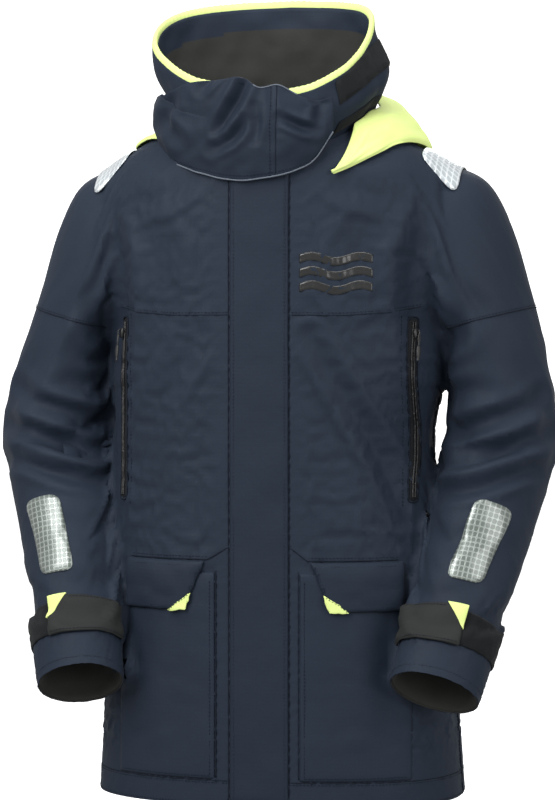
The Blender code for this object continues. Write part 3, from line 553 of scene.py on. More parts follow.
# Openings: hem, neck and cuffs are cut clean.
cut_along(shell.data, coords(shell.data)[:, 2] - 0.0005, keep=1)
places = coords(shell.data)
behind_side = places[:, 1] + 0.032
neck_line = np.where(behind_side < 0.0, 0.795 - 0.047 * (behind_side / 0.110) ** 2,
                     0.795 + 0.015 * (behind_side / 0.102) ** 2)
neck_field = np.where(np.hypot(places[:, 0], places[:, 1] + 0.03) < 0.135, places[:, 2] - neck_line, -1.0)
cut_along(shell.data, neck_field, keep=-1)
for side in (-1, 1):
    places = coords(shell.data)
    end = np.array([side * CUFF_END.x, CUFF_END.y, CUFF_END.z])
    line = np.array([side * CUFF_CUT.x, CUFF_CUT.y, CUFF_CUT.z])
    near = (np.linalg.norm(places - end, axis=1) < 0.13) & (distance_outside_body(places) > 0.006)
    cut_along(shell.data, np.where(near, (places - end) @ line, -1.0), keep=-1)

# Points past this line are cut off into the lower sleeve; the cap of each sleeve lies between it and the
# armhole.
ARM_LINE = (0.6, -0.8)
CAP_START = -0.3086
CAP_END = -0.250


def part_of(mesh, name, faces_kept):
    """New object with only some of a mesh's faces."""
    work = bmesh.new()
    work.from_mesh(mesh)
    gone = [face for face, kept in zip(work.faces, faces_kept) if not kept]
    bmesh.ops.delete(work, geom=gone, context="FACES")
    copy = bpy.data.meshes.new(name)
    work.to_mesh(copy)
    work.free()
    copy.shade_smooth()
    return linked(name, copy)


def face_means(mesh, values):
    """Mean of a per-vertex value over each face."""
    return np.array([values[list(face.vertices)].mean() for face in mesh.polygons])


def armhole_field(places):
    """Positive on the sleeves and negative on the body."""
    gap = distance_outside_body(places)
    inner = np.interp(places[:, 2], (0.10, 0.30, 0.40, 0.535), (0.10, 0.182, 0.1955, 0.1995))
    apart = np.where(np.abs(places[:, 0]) > inner, 0.05, -0.05)
    return np.where(places[:, 2] < 0.535, np.where(gap > 0.003, apart, -0.05), gap - ARMHOLE_LIFT)


def arm_field(places):
    """Positive on the upper part of the sleeves, before the elbow."""
    along = np.abs(places[:, 0]) * ARM_LINE[0] + places[:, 2] * ARM_LINE[1]
    return np.where(np.abs(places[:, 0]) > 0.17, CAP_END - along, 1.0)


cut_along(shell.data, armhole_field(coords(shell.data)))
cut_along(shell.data, arm_field(coords(shell.data)))
places = coords(shell.data)
kept_normals = shell.data.attributes.new("skin_normal", "FLOAT_VECTOR", "POINT")
kept_normals.data.foreach_set("vector", normals_of(shell.data).astype(np.float32).ravel())
is_arm = face_means(shell.data, armhole_field(places)) > 0.0
above = face_means(shell.data, arm_field(places)) > 0.0
right_side = face_means(shell.data, places[:, 0]) < 0.0
body_shell = part_of(shell.data, "body_shell", ~is_arm)
sleeve_caps, sleeve_lows = {}, {}
for side, of_side in ((-1, right_side), (1, ~right_side)):
    sleeve_caps[side] = part_of(shell.data, "sleeve_upper_" + LABELS[side], is_arm & above & of_side)
    sleeve_lows[side] = part_of(shell.data, "sleeve_lower_" + LABELS[side], is_arm & ~above & of_side)
bpy.data.objects.remove(shell, do_unlink=True)


# ---- Finding the finished skin ----
def skin_tree(*objects):
    """Search tree of some skins."""
    points, faces = [], []
    for made in objects:
        base = len(points)
        points += [vertex.co.copy() for vertex in made.data.vertices]
        faces += [tuple(base + corner for corner in face.vertices) for face in made.data.polygons]
    return BVHTree.FromPolygons(points, faces)


BODY_SKIN = skin_tree(body_shell, sleeve_caps[-1], sleeve_caps[1])
TORSO_SKIN = skin_tree(body_shell)
ARM_SKIN = {side: skin_tree(sleeve_caps[side], sleeve_lows[side]) for side in (-1, 1)}
FEEL = 0.006


def cast(tree, start, direction):
    """First point of a skin along a line, or its nearest point."""
    return tree.ray_cast(start, direction)[0] or tree.find_nearest(start + direction * 0.4)[0]


def felt(touch, first, second, lift):
    """Point above a skin, from touches around it, so that small wrinkles don't show through."""
    left, right = touch(first - FEEL, second), touch(first + FEEL, second)
    low, high = touch(first, second - FEEL), touch(first, second + FEEL)
    middle = (touch(first, second) * 2.0 + left + right + low + high) / 6.0
    return middle + (right - left).cross(high - low).normalized() * lift


def front_at(across, height, lift):
    """Point on the front of the body."""
    def touch(x, z):
        return cast(BODY_SKIN, Vector((x, -0.5, z)), Vector((0.0, 1.0, 0.0)))
    return felt(touch, across, height, lift)


def front_on(side):
    """Finder on the front, mirrored for the wearer's right."""
    return lambda across, height, lift: front_at(side * across, height, lift)


def top_on(side):
    """Finder on top of a shoulder."""
    def place(across, depth, lift):
        def touch(x, y):
            return cast(BODY_SKIN, Vector((x, y, 1.0)), Vector((0.0, 0.0, -1.0)))
        return felt(touch, side * across, depth, lift)
    return place


def round_body(turn, height, lift=0.0006):
    """Point on the body at a turn in degrees and a height below the armholes, or behind at the yoke."""
    angle = math.radians(turn)
    out = Vector((math.sin(angle), -math.cos(angle), 0.0))
    level = height / YOKE_SEAM
    start = body_point(angle, min(level, 1.3))
    start.z = height
    hit = cast(TORSO_SKIN, start + out * 0.05, -out)
    return hit + out * lift


ARM_RUN = np.concatenate([[0.0], np.cumsum(np.linalg.norm(np.diff(ARM_TABLE[:, :3], axis=0), axis=1))])
ELBOW_RUN = ARM_RUN[7]
ARM_ROUND = 0.054


def arm_on(side):
    """Finder on a sleeve: metres round from its front, metres along from the elbow."""
    def place(around, along, lift):
        station = float(np.interp(ELBOW_RUN + along, ARM_RUN, np.arange(len(ARM_RUN))))
        middle, wide, deep = arm_section(station)
        angle = around / ARM_ROUND
        spoke = wide * math.sin(angle) - deep * math.cos(angle)
        middle.x *= side
        spoke.x *= side
        out = spoke.normalized()
        hit = ARM_SKIN[side].ray_cast(middle + spoke + out * 0.03, -out, 0.05)[0] or middle + spoke
        return hit + out * lift
    return place


# ---- Small builders ----
def finish_piece(made, material, *more):
    """Materials, smooth shading and the move into the row frame."""
    made.data.materials.clear()
    for one in (material, *more):
        made.data.materials.append(one)
    made.data.transform(Matrix.Translation(SHIFT))
    made.data.shade_smooth()
    return made


def solid(made, thickness, offset=-1.0, inner_slot=False):
    """Give a skin thickness."""
    layer = made.modifiers.new("thickness", "SOLIDIFY")
    layer.thickness = thickness
    layer.offset = offset
    layer.use_quality_normals = True
    if inner_slot:
        layer.material_offset = 1
    return apply_all(made)


def rounded(outline, radius, steps=5):
    """Outline with its corners rounded."""
    if radius <= 0.0:
        return [tuple(point) for point in outline]
    result = []
    for index, corner in enumerate(outline):
        corner = Vector(corner)
        before, after = Vector(outline[index - 1]), Vector(outline[(index + 1) % len(outline)])
        start = corner + (before - corner).normalized() * min(radius, (before - corner).length * 0.48)
        end = corner + (after - corner).normalized() * min(radius, (after - corner).length * 0.48)
        for step in range(steps + 1):
            t = step / steps
            point = start * (1.0 - t) ** 2 + corner * 2.0 * t * (1.0 - t) + end * t ** 2
            result.append((point.x, point.y))
    return result


def gap_to_outline(point, outline):
    """Distance from a flat point to an outline."""
    best = 1.0
    for index in range(len(outline)):
        start, end = Vector(outline[index - 1]), Vector(outline[index])
        span = end - start
        t = unit((point - start).dot(span) / max(span.length_squared, 1e-12))
        best = min(best, (point - start - span * t).length)
    return best


def patch(name, outline, place, spacing=0.006, thickness=0.0016, lift=0.0012, crown=0.0012, edge=0.004,
          corner=0.0, ripple=0.0, grain=40.0):
    """Sewn patch with a convex outline, laid on a skin and thicker away from its edges."""
    border = rounded(outline, corner)
    flat = bmesh.new()
    flat.faces.new([flat.verts.new((u, v, 0.0)) for u, v in border])
    for axis in (0, 1):
        values = [point[axis] for point in border]
        low, high = min(values), max(values)
        lines = max(2, round((high - low) / spacing))
        normal = Vector((1.0 - axis, float(axis), 0.0))
        cuts = [low + (high - low) * step / lines for step in range(1, lines)]
        cuts += [low + min(edge, (high - low) * 0.2) * 0.5, high - min(edge, (high - low) * 0.2) * 0.5]
        for line in cuts:
            bmesh.ops.bisect_plane(flat, geom=list(flat.verts) + list(flat.edges) + list(flat.faces),
                                   dist=1e-6, plane_co=normal * line, plane_no=normal)
    layer = flat.loops.layers.uv.new("flat")
    for face in flat.faces:
        for loop in face.loops:
            loop[layer].uv = (loop.vert.co.x, loop.vert.co.y)
    sample = next(iter(flat.faces)).calc_center_median()
    outward = place(sample.x, sample.y, 0.02) - place(sample.x, sample.y, 0.0)
    for vertex in flat.verts:
        u, v = vertex.co.x, vertex.co.y
        rise = lift(u, v) if callable(lift) else lift
        share = min(1.0, gap_to_outline(Vector((u, v)), border) / edge)
        rise += crown * share * (2.0 - share)
        if ripple:
            rise += ripple * noise.noise(Vector((u * grain, v * grain, 3.7))) * share
        vertex.co = place(u, v, rise)
    flat.normal_update()
    if sum((face.normal.dot(outward) for face in flat.faces), 0.0) < 0.0:
        bmesh.ops.reverse_faces(flat, faces=list(flat.faces))
    mesh = bpy.data.meshes.new(name)
    flat.to_mesh(mesh)
    flat.free()
    return solid(linked(name, mesh), thickness)


def add_rings(store, rings, closed=False):
    """Add a loft between rings to a store of points and faces, with end caps unless it is closed."""
    points, faces = store
    base, count, sides = len(points), len(rings), len(rings[0])
    points.extend(point for ring in rings for point in ring)
    for ring in range(count if closed else count - 1):
        for step in range(sides):
            after = (step + 1) % sides
            following = (ring + 1) % count
            faces.append((base + ring * sides + step, base + ring * sides + after,
                          base + following * sides + after, base + following * sides + step))
    if not closed:
        faces.append(tuple(base + step for step in reversed(range(sides))))
        faces.append(tuple(base + (count - 1) * sides + step for step in range(sides)))


def tube(store, path, radius, sides=6, closed=False, sizes=None):
    """Add a tube along a path to a store of points and faces."""
    rings, over = [], None
    count = len(path)
    for index, place in enumerate(path):
        ahead = path[(index + 1) % count] if closed else path[min(index + 1, count - 1)]
        behind = path[index - 1] if closed or index else path[0]
        along = (ahead - behind).normalized()
        over = along.orthogonal() if over is None else over - along * over.dot(along)
        over.normalize()
        beside = along.cross(over)
        size = sizes[index] if sizes else radius
        angles = [math.tau * step / sides for step in range(sides)]
        rings.append([place + (over * math.cos(angle) + beside * math.sin(angle)) * size for angle in angles])
    add_rings(store, rings, closed)


def resample(path, spacing):
    """Points at even spacing along a path."""
    lengths = [0.0]
    for before, after in zip(path, path[1:]):
        lengths.append(lengths[-1] + (after - before).length)
    count = max(2, int(lengths[-1] / spacing) + 1)
    result, piece = [], 0
    for step in range(count):
        want = lengths[-1] * step / (count - 1)
        while piece < len(path) - 2 and lengths[piece + 1] < want:
            piece += 1
        span = max(lengths[piece + 1] - lengths[piece], 1e-9)
        result.append(path[piece].lerp(path[piece + 1], (want - lengths[piece]) / span))
    return result


def stitches(store, path, pitch=0.0042, radius=0.00042):
    """Add a row of stitches along a path."""
    fine = resample(path, pitch / 3.0)
    for start in range(0, len(fine) - 2, 3):
        tube(store, fine[start:start + 3], radius, 4, sizes=(radius * 0.45, radius, radius * 0.45))


def run_of(place, start, end, steps, lift=0.0006):
    """Path on a skin between two flat points."""
    return [place(*(a + (b - a) * step / steps for a, b in zip(start, end)), lift)
            for step in range(steps + 1)]


def from_store(name, store, material):
    """Object from a store of points and faces."""
    return finish_piece(mesh_object(name, *store), material)


def attach(piece, body, slot, *nodes):
    """Ride on a body or bend by a function and stand for CAD nodes; the slot is not used."""
    if callable(body):
        body(piece)
    else:
        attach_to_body(piece, body)
    if nodes:
        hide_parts(*nodes)


def sewn(name, store, material, body, slot, *nodes):
    """Attached piece from a store of points and faces."""
    attach(from_store(name, store, material), body, slot, *nodes)


def laid(name, outline, place, material, body, slot, *nodes, **sizes):
    """Attached patch on a skin."""
    attach(finish_piece(patch(name, outline, place, **sizes), material), body, slot, *nodes)


def block(left, low, right, high):
    """Outline of an upright rectangle."""
    return [(left, low), (right, low), (right, high), (left, high)]


def crumple(point, scale, seed):
    """Smooth noise for soft unevenness."""
    return noise.noise(Vector(point) * scale + Vector((seed, seed * 0.7, seed * 1.3)))


# ---- Materials ----
class Paint:
    """One procedural material and the nodes that are added to it."""

    def __init__(self, name, colour, roughness, **more):
        self.made = bpy.data.materials.new(name)
        self.made.use_nodes = True
        self.tree = self.made.node_tree
        self.shader = self.tree.nodes["Principled BSDF"]
        self.colour = colour
        self.roughness = roughness
        self.fill(self.shader, {"Base Color": (*colour, 1.0), "Roughness": roughness, **more})
        self.place = self.tree.nodes.new("ShaderNodeTexCoord").outputs["Object"]
        self.flat = self.place.node.outputs["UV"]

    def fill(self, node, inputs):
        """Give a node's inputs their values, or link them to outputs."""
        for name, value in inputs.items():
            if isinstance(value, bpy.types.NodeSocket):
                self.tree.links.new(value, node.inputs[name])
            else:
                node.inputs[name].default_value = value

    def add(self, kind, output, inputs, **settings):
        """One output of a new node."""
        node = self.tree.nodes.new("ShaderNode" + kind)
        for name, value in settings.items():
            setattr(node, name, value)
        self.fill(node, inputs)
        return node.outputs[output]

    def noise(self, scale, detail, vector=None):
        """Noise, on object coordinates unless others are given."""
        return self.add("TexNoise", "Fac", {"Scale": scale, "Detail": detail, "Vector": vector or self.place})

    def maths(self, operation, first, second=None):
        """One step of arithmetic."""
        inputs = {0: first} if second is None else {0: first, 1: second}
        return self.add("Math", "Value", inputs, operation=operation)

    def mix(self, driver, first, second):
        """Mix of two colours."""
        return self.add("MixRGB", "Color", {"Fac": driver, "Color1": first, "Color2": second})

    def bump(self, height, strength, distance, below=None):
        """Bump, laid over another if given."""
        inputs = {"Strength": strength, "Distance": distance, "Height": height}
        return self.add("Bump", "Normal", {**inputs, "Normal": below} if below else inputs)

    def scaled(self, low, high):
        """The colour, darker and brighter."""
        return [(*(min(1.0, channel * factor) for channel in self.colour), 1.0) for factor in (low, high)]

    def mottle(self, driver, amount, swing):
        """Slow variation of colour and roughness."""
        rough = {"To Min": self.roughness - swing, "To Max": self.roughness + swing, "Value": driver}
        self.fill(self.shader, {"Base Color": self.mix(driver, *self.scaled(1.0 - amount, 1.0 + amount)),
                                "Roughness": self.add("MapRange", "Result", rough)})


def fabric(name, colour, roughness=0.62, weave=1400.0, weave_depth=0.25, sheen=0.015, amount=0.10,
           crinkle=0.30, specular=0.10, fuzz=0.0):
    """Woven fabric: fine weave, slow colour change, small creases and a little sheen."""
    paint = Paint(name, colour, roughness, **{"Sheen Weight": sheen, "Sheen Roughness": 0.4,
                                              "Specular IOR Level": specular})
    paint.mottle(paint.noise(7.0, 5.0), amount, 0.07)
    wave = {"Scale": weave / 20.0, "Distortion": 0.5, "Detail Scale": 2.0, "Vector": paint.place}
    waves = [paint.add("TexWave", "Fac", wave, bands_direction=direction) for direction in "XZ"]
    cross = paint.maths("MULTIPLY", *waves)
    creases = paint.bump(paint.noise(55.0, 4.0), crinkle, 0.002)
    normal = paint.bump(cross, weave_depth, 0.0002, creases)
    if fuzz:
        normal = paint.bump(paint.noise(1600.0, 2.0), fuzz, 0.0006, normal)
    paint.fill(paint.shader, {"Normal": normal})
    return paint.made


def film(name, colour, bright, cell, roughness):
    """Reflective film with a grid of rounded cells under a clear top layer."""
    paint = Paint(name, colour, roughness, **{"Metallic": 0.35, "Coat Weight": 0.6, "Coat Roughness": 0.12})
    split = paint.add("SeparateXYZ", "X", {"Vector": paint.flat}).node
    parts = []
    for axis in "XY":
        last = split.outputs[axis]
        for operation, value in (("DIVIDE", cell), ("FRACT", None), ("SUBTRACT", 0.5), ("ABSOLUTE", None),
                                 ("POWER", 3.0)):
            last = paint.maths(operation, last, value)
        parts.append(last)
    total = paint.maths("ADD", *parts)
    rim = paint.add("MapRange", "Result", {"From Min": 0.050, "From Max": 0.085, "Value": total})
    base = paint.mix(paint.noise(45.0, 2.0, paint.flat), *paint.scaled(0.75, 1.3))
    paint.fill(paint.shader, {"Base Color": paint.mix(rim, base, (*bright, 1.0)),
                              "Normal": paint.bump(rim, 0.5, 0.0004)})
    return paint.made


def moulded(name, colour, roughness, scale=300.0):
    """Plastic or gloss film with a faint grain and wear."""
    paint = Paint(name, colour, roughness)
    paint.mottle(paint.noise(30.0, 4.0), 0.15, 0.06)
    paint.fill(paint.shader, {"Normal": paint.bump(paint.noise(scale, 3.0), 0.15, 0.0004)})
    return paint.made


NAVY = fabric("navy_shell_fabric", (0.0150, 0.0215, 0.0345))
NAVY_DOUBLE = fabric("navy_double_fabric", (0.0135, 0.0195, 0.0315), crinkle=0.4)
LINING = fabric("charcoal_brushed_lining", (0.030, 0.030, 0.028), roughness=0.85, weave=600.0,
                sheen=0.04, fuzz=0.5)
CHARCOAL = fabric("charcoal_tab_fabric", (0.020, 0.021, 0.021), roughness=0.7, weave=900.0)
LIME = fabric("lime_fluorescent_fabric", (0.61, 0.72, 0.25), roughness=0.7, weave=900.0, sheen=0.05,
              amount=0.07)
LIME_RIB = fabric("lime_gathered_tape", (0.60, 0.71, 0.25), roughness=0.75, weave=2200.0, sheen=0.05,
                  amount=0.08)
HOOK = fabric("black_hook_and_loop", (0.010, 0.011, 0.012), roughness=0.9, weave=700.0, sheen=0.05,
              amount=0.3, fuzz=1.0)
COIL = moulded("black_zip_coil", (0.008, 0.008, 0.009), 0.42)
TAPE = fabric("black_woven_tape", (0.010, 0.011, 0.013), roughness=0.8, weave=1200.0, weave_depth=0.5)
THREAD = fabric("navy_thread", (0.020, 0.028, 0.042), roughness=0.7, weave=3000.0)
# Darker navy for the tubes drawn along seams, welts and flap edges: painted shade in the grooves and beside
# the edges. The stitches sewn with it take the same dark colour.
SEAM_SHADE = fabric("navy_seam_edge", (0.0070, 0.0100, 0.0165), roughness=0.8)
PIPING = fabric("grey_piping", (0.10, 0.115, 0.14), roughness=0.6, weave=2000.0)
FILM = film("silver_reflective_film", (0.115, 0.135, 0.122), (0.25, 0.28, 0.26), 0.0062, 0.35)
# Brighter copy of the same reflective film for the shoulders: painted highlight, as the shoulder tops face up
# into the light.
LIT_SHOULDER_FILM = film("bright_reflective_film", (0.42, 0.46, 0.48), (0.66, 0.70, 0.72), 0.0062, 0.30)
EMBLEM = moulded("black_gloss_film", (0.012, 0.013, 0.012), 0.22, 90.0)
CORD = moulded("black_cord", (0.010, 0.010, 0.011), 0.6, 900.0)

# ---- Shell pieces ----
ARM_AXIS = Vector((ARM_LINE[0], 0.0, ARM_LINE[1]))


def bend_cap(piece, side):
    """A piece of the upper sleeve has its transform baked; the two ends between the body and the sleeve are
    worked out but not used.
    """
    centre = Vector((0.24, 0.006, 0.0))
    base = centre + Vector((0.0, 0.0, (centre.x * ARM_LINE[0] - CAP_START) / -ARM_LINE[1]))
    ends = [base + ARM_AXIS * shift for shift in (0.0, CAP_END - CAP_START)]
    start, end = (SHIFT + Vector((side * point.x, point.y, point.z)) for point in ends)
    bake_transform(piece)
    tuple(start)
    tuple(end)


def bend_low(piece, side):
    """A piece of the lower sleeve has its transform baked."""
    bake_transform(piece)


def finish_skin(made):
    """Thickness, lining inside and normals kept from the whole skin, so that cuts don't show."""
    count = len(made.data.vertices)
    made.data.materials.append(NAVY)
    made.data.materials.append(LINING)
    solid(made, SHELL_THICK, inner_slot=True)
    mesh = made.data
    values = np.empty(len(mesh.vertices) * 3, dtype=np.float32)
    mesh.attributes["skin_normal"].data.foreach_get("vector", values)
    values = values.reshape(-1, 3)
    values[count:] *= -1.0
    mesh.transform(Matrix.Translation(SHIFT))
    mesh.shade_smooth()
    mesh.normals_split_custom_set_from_vertices([tuple(value) for value in values])
    mesh.attributes.remove(mesh.attributes["skin_normal"])


for piece in (body_shell, *sleeve_caps.values(), *sleeve_lows.values()):
    finish_skin(piece)
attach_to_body(body_shell, "jacket_body")
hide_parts("back_panel", "back_yoke", "front_panel_right", "front_panel_left",
            "front_yoke_right", "front_yoke_left", "hem_band_back", "hem_band_right", "hem_band_left")
for side, label in LABELS.items():
    bend_cap(sleeve_caps[side], side)
    bend_low(sleeve_lows[side], side)
    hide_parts("sleeve_" + label)
    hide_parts("forearm_" + label, "cuff_band_" + label)


# ---- Cloth that the arms hide at rest ----
PANEL_INSET = 0.0030
PANEL_REACH = 0.022
PANEL_BULGE = 0.008
BODY_TURNS = np.radians(np.linspace(42.0, 128.0, 60))
BODY_LEVELS = np.linspace(0.060, 0.535, 70)
ARM_TURNS = np.radians(np.linspace(-165.0, -15.0, 50))


def hidden_panel(name, tree, surface, firsts, seconds):
    """Cloth where an arm and the body rest on each other: it follows the skin round the place."""
    places = [[surface(first, second) for first in firsts] for second in seconds]
    depths = np.full((len(seconds), len(firsts)), np.nan)
    for row, line in enumerate(places):
        for column, (point, out) in enumerate(line):
            hit, facing = tree.ray_cast(point + out * PANEL_REACH, -out, PANEL_REACH * 1.8)[:2]
            if hit is not None and abs(facing.dot(out)) > 0.5:
                depths[row, column] = min(PANEL_BULGE, (hit - point).dot(out))
    missing = np.isnan(depths)
    depths[missing] = 0.0
    for _turn in range(150):
        padded = np.pad(depths, 1, mode="edge")
        mean = (padded[:-2, 1:-1] + padded[2:, 1:-1] + padded[1:-1, :-2] + padded[1:-1, 2:]) * 0.25
        depths[missing] = mean[missing]
    rows = [[point + out * (depths[row, column] - PANEL_INSET) for column, (point, out) in enumerate(line)]
            for row, line in enumerate(places)]
    return finish_piece(solid(rows_object(name, rows), THIN_THICK), NAVY)


def body_side(angle, height):
    """Point on the side of the body, with its outward direction."""
    point = body_point(angle, height / YOKE_SEAM)
    return point, (outside(body_point, angle, height / YOKE_SEAM, 0.01) - point).normalized()


def arm_side(side):
    """Points on a sleeve by turn and station, with their outward directions."""
    def at(angle, station):
        middle, wide, deep = arm_section(station)
        spoke = wide * math.sin(angle) - deep * math.cos(angle)
        point = middle + spoke
        point.x += elbow_out(side, point.z, angle)
        point.x *= side
        spoke.x *= side
        return point, spoke.normalized()
    return at


for side, label in LABELS.items():
    panel = hidden_panel("body_under_sleeve_" + label, TORSO_SKIN, body_side, BODY_TURNS * side, BODY_LEVELS)
    attach(panel, "jacket_body", "shell_navy")
    for part, first, last, bend in (("upper", 5.35, 6.40, bend_cap), ("lower", 6.15, 12.4, bend_low)):
        panel = hidden_panel("sleeve_%s_inner_%s" % (part, label), ARM_SKIN[side], arm_side(side), ARM_TURNS,
                             np.linspace(first, last, 60))
        bend(panel, side)

# ---- Collar, its lining and its gathered edge ----
COLLAR_GAP = 4.0
COLLAR_LEAN = 0.030
COLLAR_THICK = 0.0022
EDGE_RISE = 0.985


def soft_collar(angle, rise):
    """The collar as fabric: it leans in at the top of the wearer's left and is a little uneven."""
    point = collar_point(angle, rise)
    lean = COLLAR_LEAN * max(0.0, math.sin(angle)) ** 2
    share = unit((rise - 0.42) / 0.58)
    point.x -= lean * share * share * (3.0 - 2.0 * share)
    return point


def collar_at(turn, rise, lift):
    """Point on the collar, with its softness, at a turn in degrees."""
    angle = math.radians(turn)
    soft = soft_collar(angle, rise)
    bulge = 0.0040 * crumple(soft, 18.0, 2.0) + 0.0022 * crumple(soft, 42.0, 5.0)
    side_fold = 0.0035 * math.exp(-((turn - 78.0) / 7.0) ** 2) * math.sin(math.pi * unit(rise))
    fade = unit((1.02 - rise) * 6.0) * min(1.0, max(0.2, rise * 4.0))
    return outside(soft_collar, angle, rise, lift + bulge * fade - side_fold)


collar_turns = np.linspace(COLLAR_GAP, 360.0 - COLLAR_GAP, 181)
rows = [[collar_at(turn, rise, 0.0) for turn in collar_turns] for rise in np.linspace(-0.05, EDGE_RISE, 30)]
collar = finish_piece(solid(rows_object("collar_outer", rows), COLLAR_THICK), NAVY_DOUBLE)
attach(collar, "jacket_body", "shell_navy", "collar_shell")

FACING_TALL = 0.026


def lining_at(turn, rise):
    """Point on the lining, which hangs a little unevenly inside the collar."""
    return collar_at(turn, rise, -0.0062 - 0.0012 * (1.0 + crumple(collar_at(turn, rise, 0.0), 26.0, 8.0)))


rows = [[lining_at(turn, rise) for turn in collar_turns[::-1]] for rise in np.linspace(-0.06, EDGE_RISE, 34)]
lining = solid(rows_object("collar_lining_cloth", rows), DOUBLE_THICK)
finish_piece(lining, LINING, NAVY)
for face in lining.data.polygons:
    centre = face.center - SHIFT
    turn = math.degrees(math.atan2(centre.x, -(centre.y - COLLAR_CENTRE)))
    top = COLLAR_TOP_AT(turn)
    face.material_index = 1 if centre.z > top - FACING_TALL else 0
attach(lining, "jacket_body", "charcoal_fabric", "collar_lining")
seam_turns = np.linspace(12.0, 348.0, 90)
store = ([], [])
facing_line = []
for turn in seam_turns:
    top = COLLAR_TOP_AT((turn + 180.0) % 360.0 - 180.0)
    low = body_point(math.radians(turn), 2.0).z
    facing_line.append(collar_at(turn, (top - FACING_TALL - low) / (top - low), -0.0060))
# Dark line where the lining meets the facing: painted shade in the seam.
tube(store, facing_line, 0.0006, 5)
sewn("collar_facing_seam", store, SEAM_SHADE, "jacket_body", "shell_navy")

BINDING_TALL = 0.0066
BINDING_DEEP = 0.0034
binding_rows = []
binding_turns = np.linspace(COLLAR_GAP, 360.0 - COLLAR_GAP, 700)
for index, turn in enumerate(binding_turns):
    top = collar_at(turn, EDGE_RISE, -0.0035)
    out = (collar_at(turn, EDGE_RISE, 0.002) - collar_at(turn, EDGE_RISE, -0.002)).normalized()
    out.z = 0.0
    out.normalize()
    gather = math.sin(index * 1.05 + 1.6 * crumple((turn * 0.02, 0.0, 0.0), 3.0, 4.0))
    ring = []
    for step in range(12):
        angle = math.tau * step / 12
        ripple = 1.0 + 0.045 * gather * (1.0 if step % 2 else 0.6)
        tall = math.sin(angle) * BINDING_TALL * ripple
        deep = math.cos(angle) * BINDING_DEEP * ripple
        ring.append(top + Vector((0.0, 0.0, tall + 0.0015 + 0.0006 * crumple(top, 60.0, 6.0))) + out * deep)
    binding_rows.append(ring)
binding_rows = [list(reversed(row)) for row in binding_rows]
binding = rows_object("collar_gathered_binding", binding_rows, True, True, True)
finish_piece(binding, LIME_RIB)
attach(binding, "jacket_body", "lime_fabric", "collar_binding")


def collar_on(turn, height, lift):
    """Finder on the collar: degrees over 100 and height above the neck seam in metres."""
    angle = math.radians(turn * 100.0)
    return collar_at(turn * 100.0, height / (collar_top(angle) - body_point(angle, 2.0).z), lift)


COLLAR_HOOK = [(0.43, 0.042), (1.03, 0.070), (1.00, 0.100), (0.43, 0.069)]
LOW_HOOK = [(0.47, 0.004), (0.88, 0.018), (0.88, 0.034), (0.47, 0.020)]
laid("collar_hook_patch", COLLAR_HOOK, collar_on, HOOK, "jacket_body", "hook_loop", "collar_loop_patch",
     spacing=0.010, thickness=0.0014, lift=0.0010, crown=0.0012,
     edge=0.004, corner=0.006, ripple=0.0006, grain=900.0)
laid("collar_low_hook_strip", LOW_HOOK, collar_on, HOOK, "jacket_body", "hook_loop",
     spacing=0.010, thickness=0.0012, lift=0.0008, crown=0.0010,
     edge=0.003, corner=0.004, ripple=0.0005, grain=900.0)

# ---- Face guard ----
GUARD_TURNS = (-89.0, -70.0, -49.0, -30.0, -15.0, -5.0, 2.0, 10.0, 20.0, 29.0, 38.0)
GUARD_TOPS = (0.826, 0.827, 0.831, 0.839, 0.841, 0.842, 0.831, 0.834, 0.822, 0.816, 0.820)
GUARD_LOWS = (0.769, 0.763, 0.749, 0.736, 0.728, 0.726, 0.728, 0.731, 0.738, 0.750, 0.782)
GUARD_LOW_AT, GUARD_TOP_AT = quick_curve(GUARD_TURNS, GUARD_LOWS), quick_curve(GUARD_TURNS, GUARD_TOPS)
GUARD_CREASES = (
    (((-0.004, 0.852), (-0.020, 0.818), (-0.044, 0.781)), 0.0065, 0.0090),
    (((-0.033, 0.857), (-0.048, 0.846), (-0.066, 0.829)), 0.0055, 0.0055),
    (((-0.008, 0.792), (-0.028, 0.772), (-0.054, 0.760)), 0.0060, 0.0060),
    (((0.031, 0.796), (0.050, 0.787), (0.069, 0.780)), 0.0050, 0.0065),
    (((0.001, 0.808), (0.004, 0.790), (0.001, 0.771)), 0.0050, 0.0045),
    (((0.060, 0.829), (0.074, 0.812), (0.071, 0.786)), 0.0055, 0.0060),
    (((-0.095, 0.828), (-0.110, 0.812), (-0.122, 0.792)), 0.0080, 0.0045),
    (((-0.120, 0.800), (-0.100, 0.778), (-0.086, 0.764)), 0.0075, 0.0040),
    (((0.018, 0.846), (0.021, 0.815), (0.030, 0.780)), 0.0040, 0.0018),
)


def hanging_collar(angle, rise):
    """The collar's wide part carried straight down, as the guard hangs from it."""
    point = soft_collar(angle, max(rise, 0.54))
    low, top = soft_collar(angle, 0.0).z, soft_collar(angle, 1.0).z
    inward = 0.10 * unit(0.30 - rise) + 0.035 * unit(-1.3 * math.sin(angle) - 0.3)
    return Vector((point.x * (1.0 - inward), point.y * (1.0 - inward * 0.4), low + (top - low) * rise))


def guard_grid(columns, steps, lift):
    """Rows of the guard from its low edge to its top edge."""
    points = []
    for step in range(steps):
        share = step / (steps - 1)
        for column in range(columns):
            turn = GUARD_TURNS[0] + (GUARD_TURNS[-1] - GUARD_TURNS[0]) * column / (columns - 1)
            low, top = GUARD_LOW_AT(turn), GUARD_TOP_AT(turn)
            angle = math.radians(turn)
            seam = body_point(angle, 2.0).z
            rise = (low + (top - low) * share - seam) / (COLLAR_TOP_AT(turn) - seam)
            ends = min(1.0, (35.0 - turn) / 16.0) * min(1.0, (turn + 89.0) / 14.0)
            puff = 0.0085 * math.sin(math.pi * min(1.0, 0.14 + 0.80 * share)) * max(0.0, ends) ** 0.6
            base = 0.0068 + 0.0024 * max(0.0, ends)
            points.append([*outside(hanging_collar, angle, rise, lift + base + puff)])
    return np.array(points)


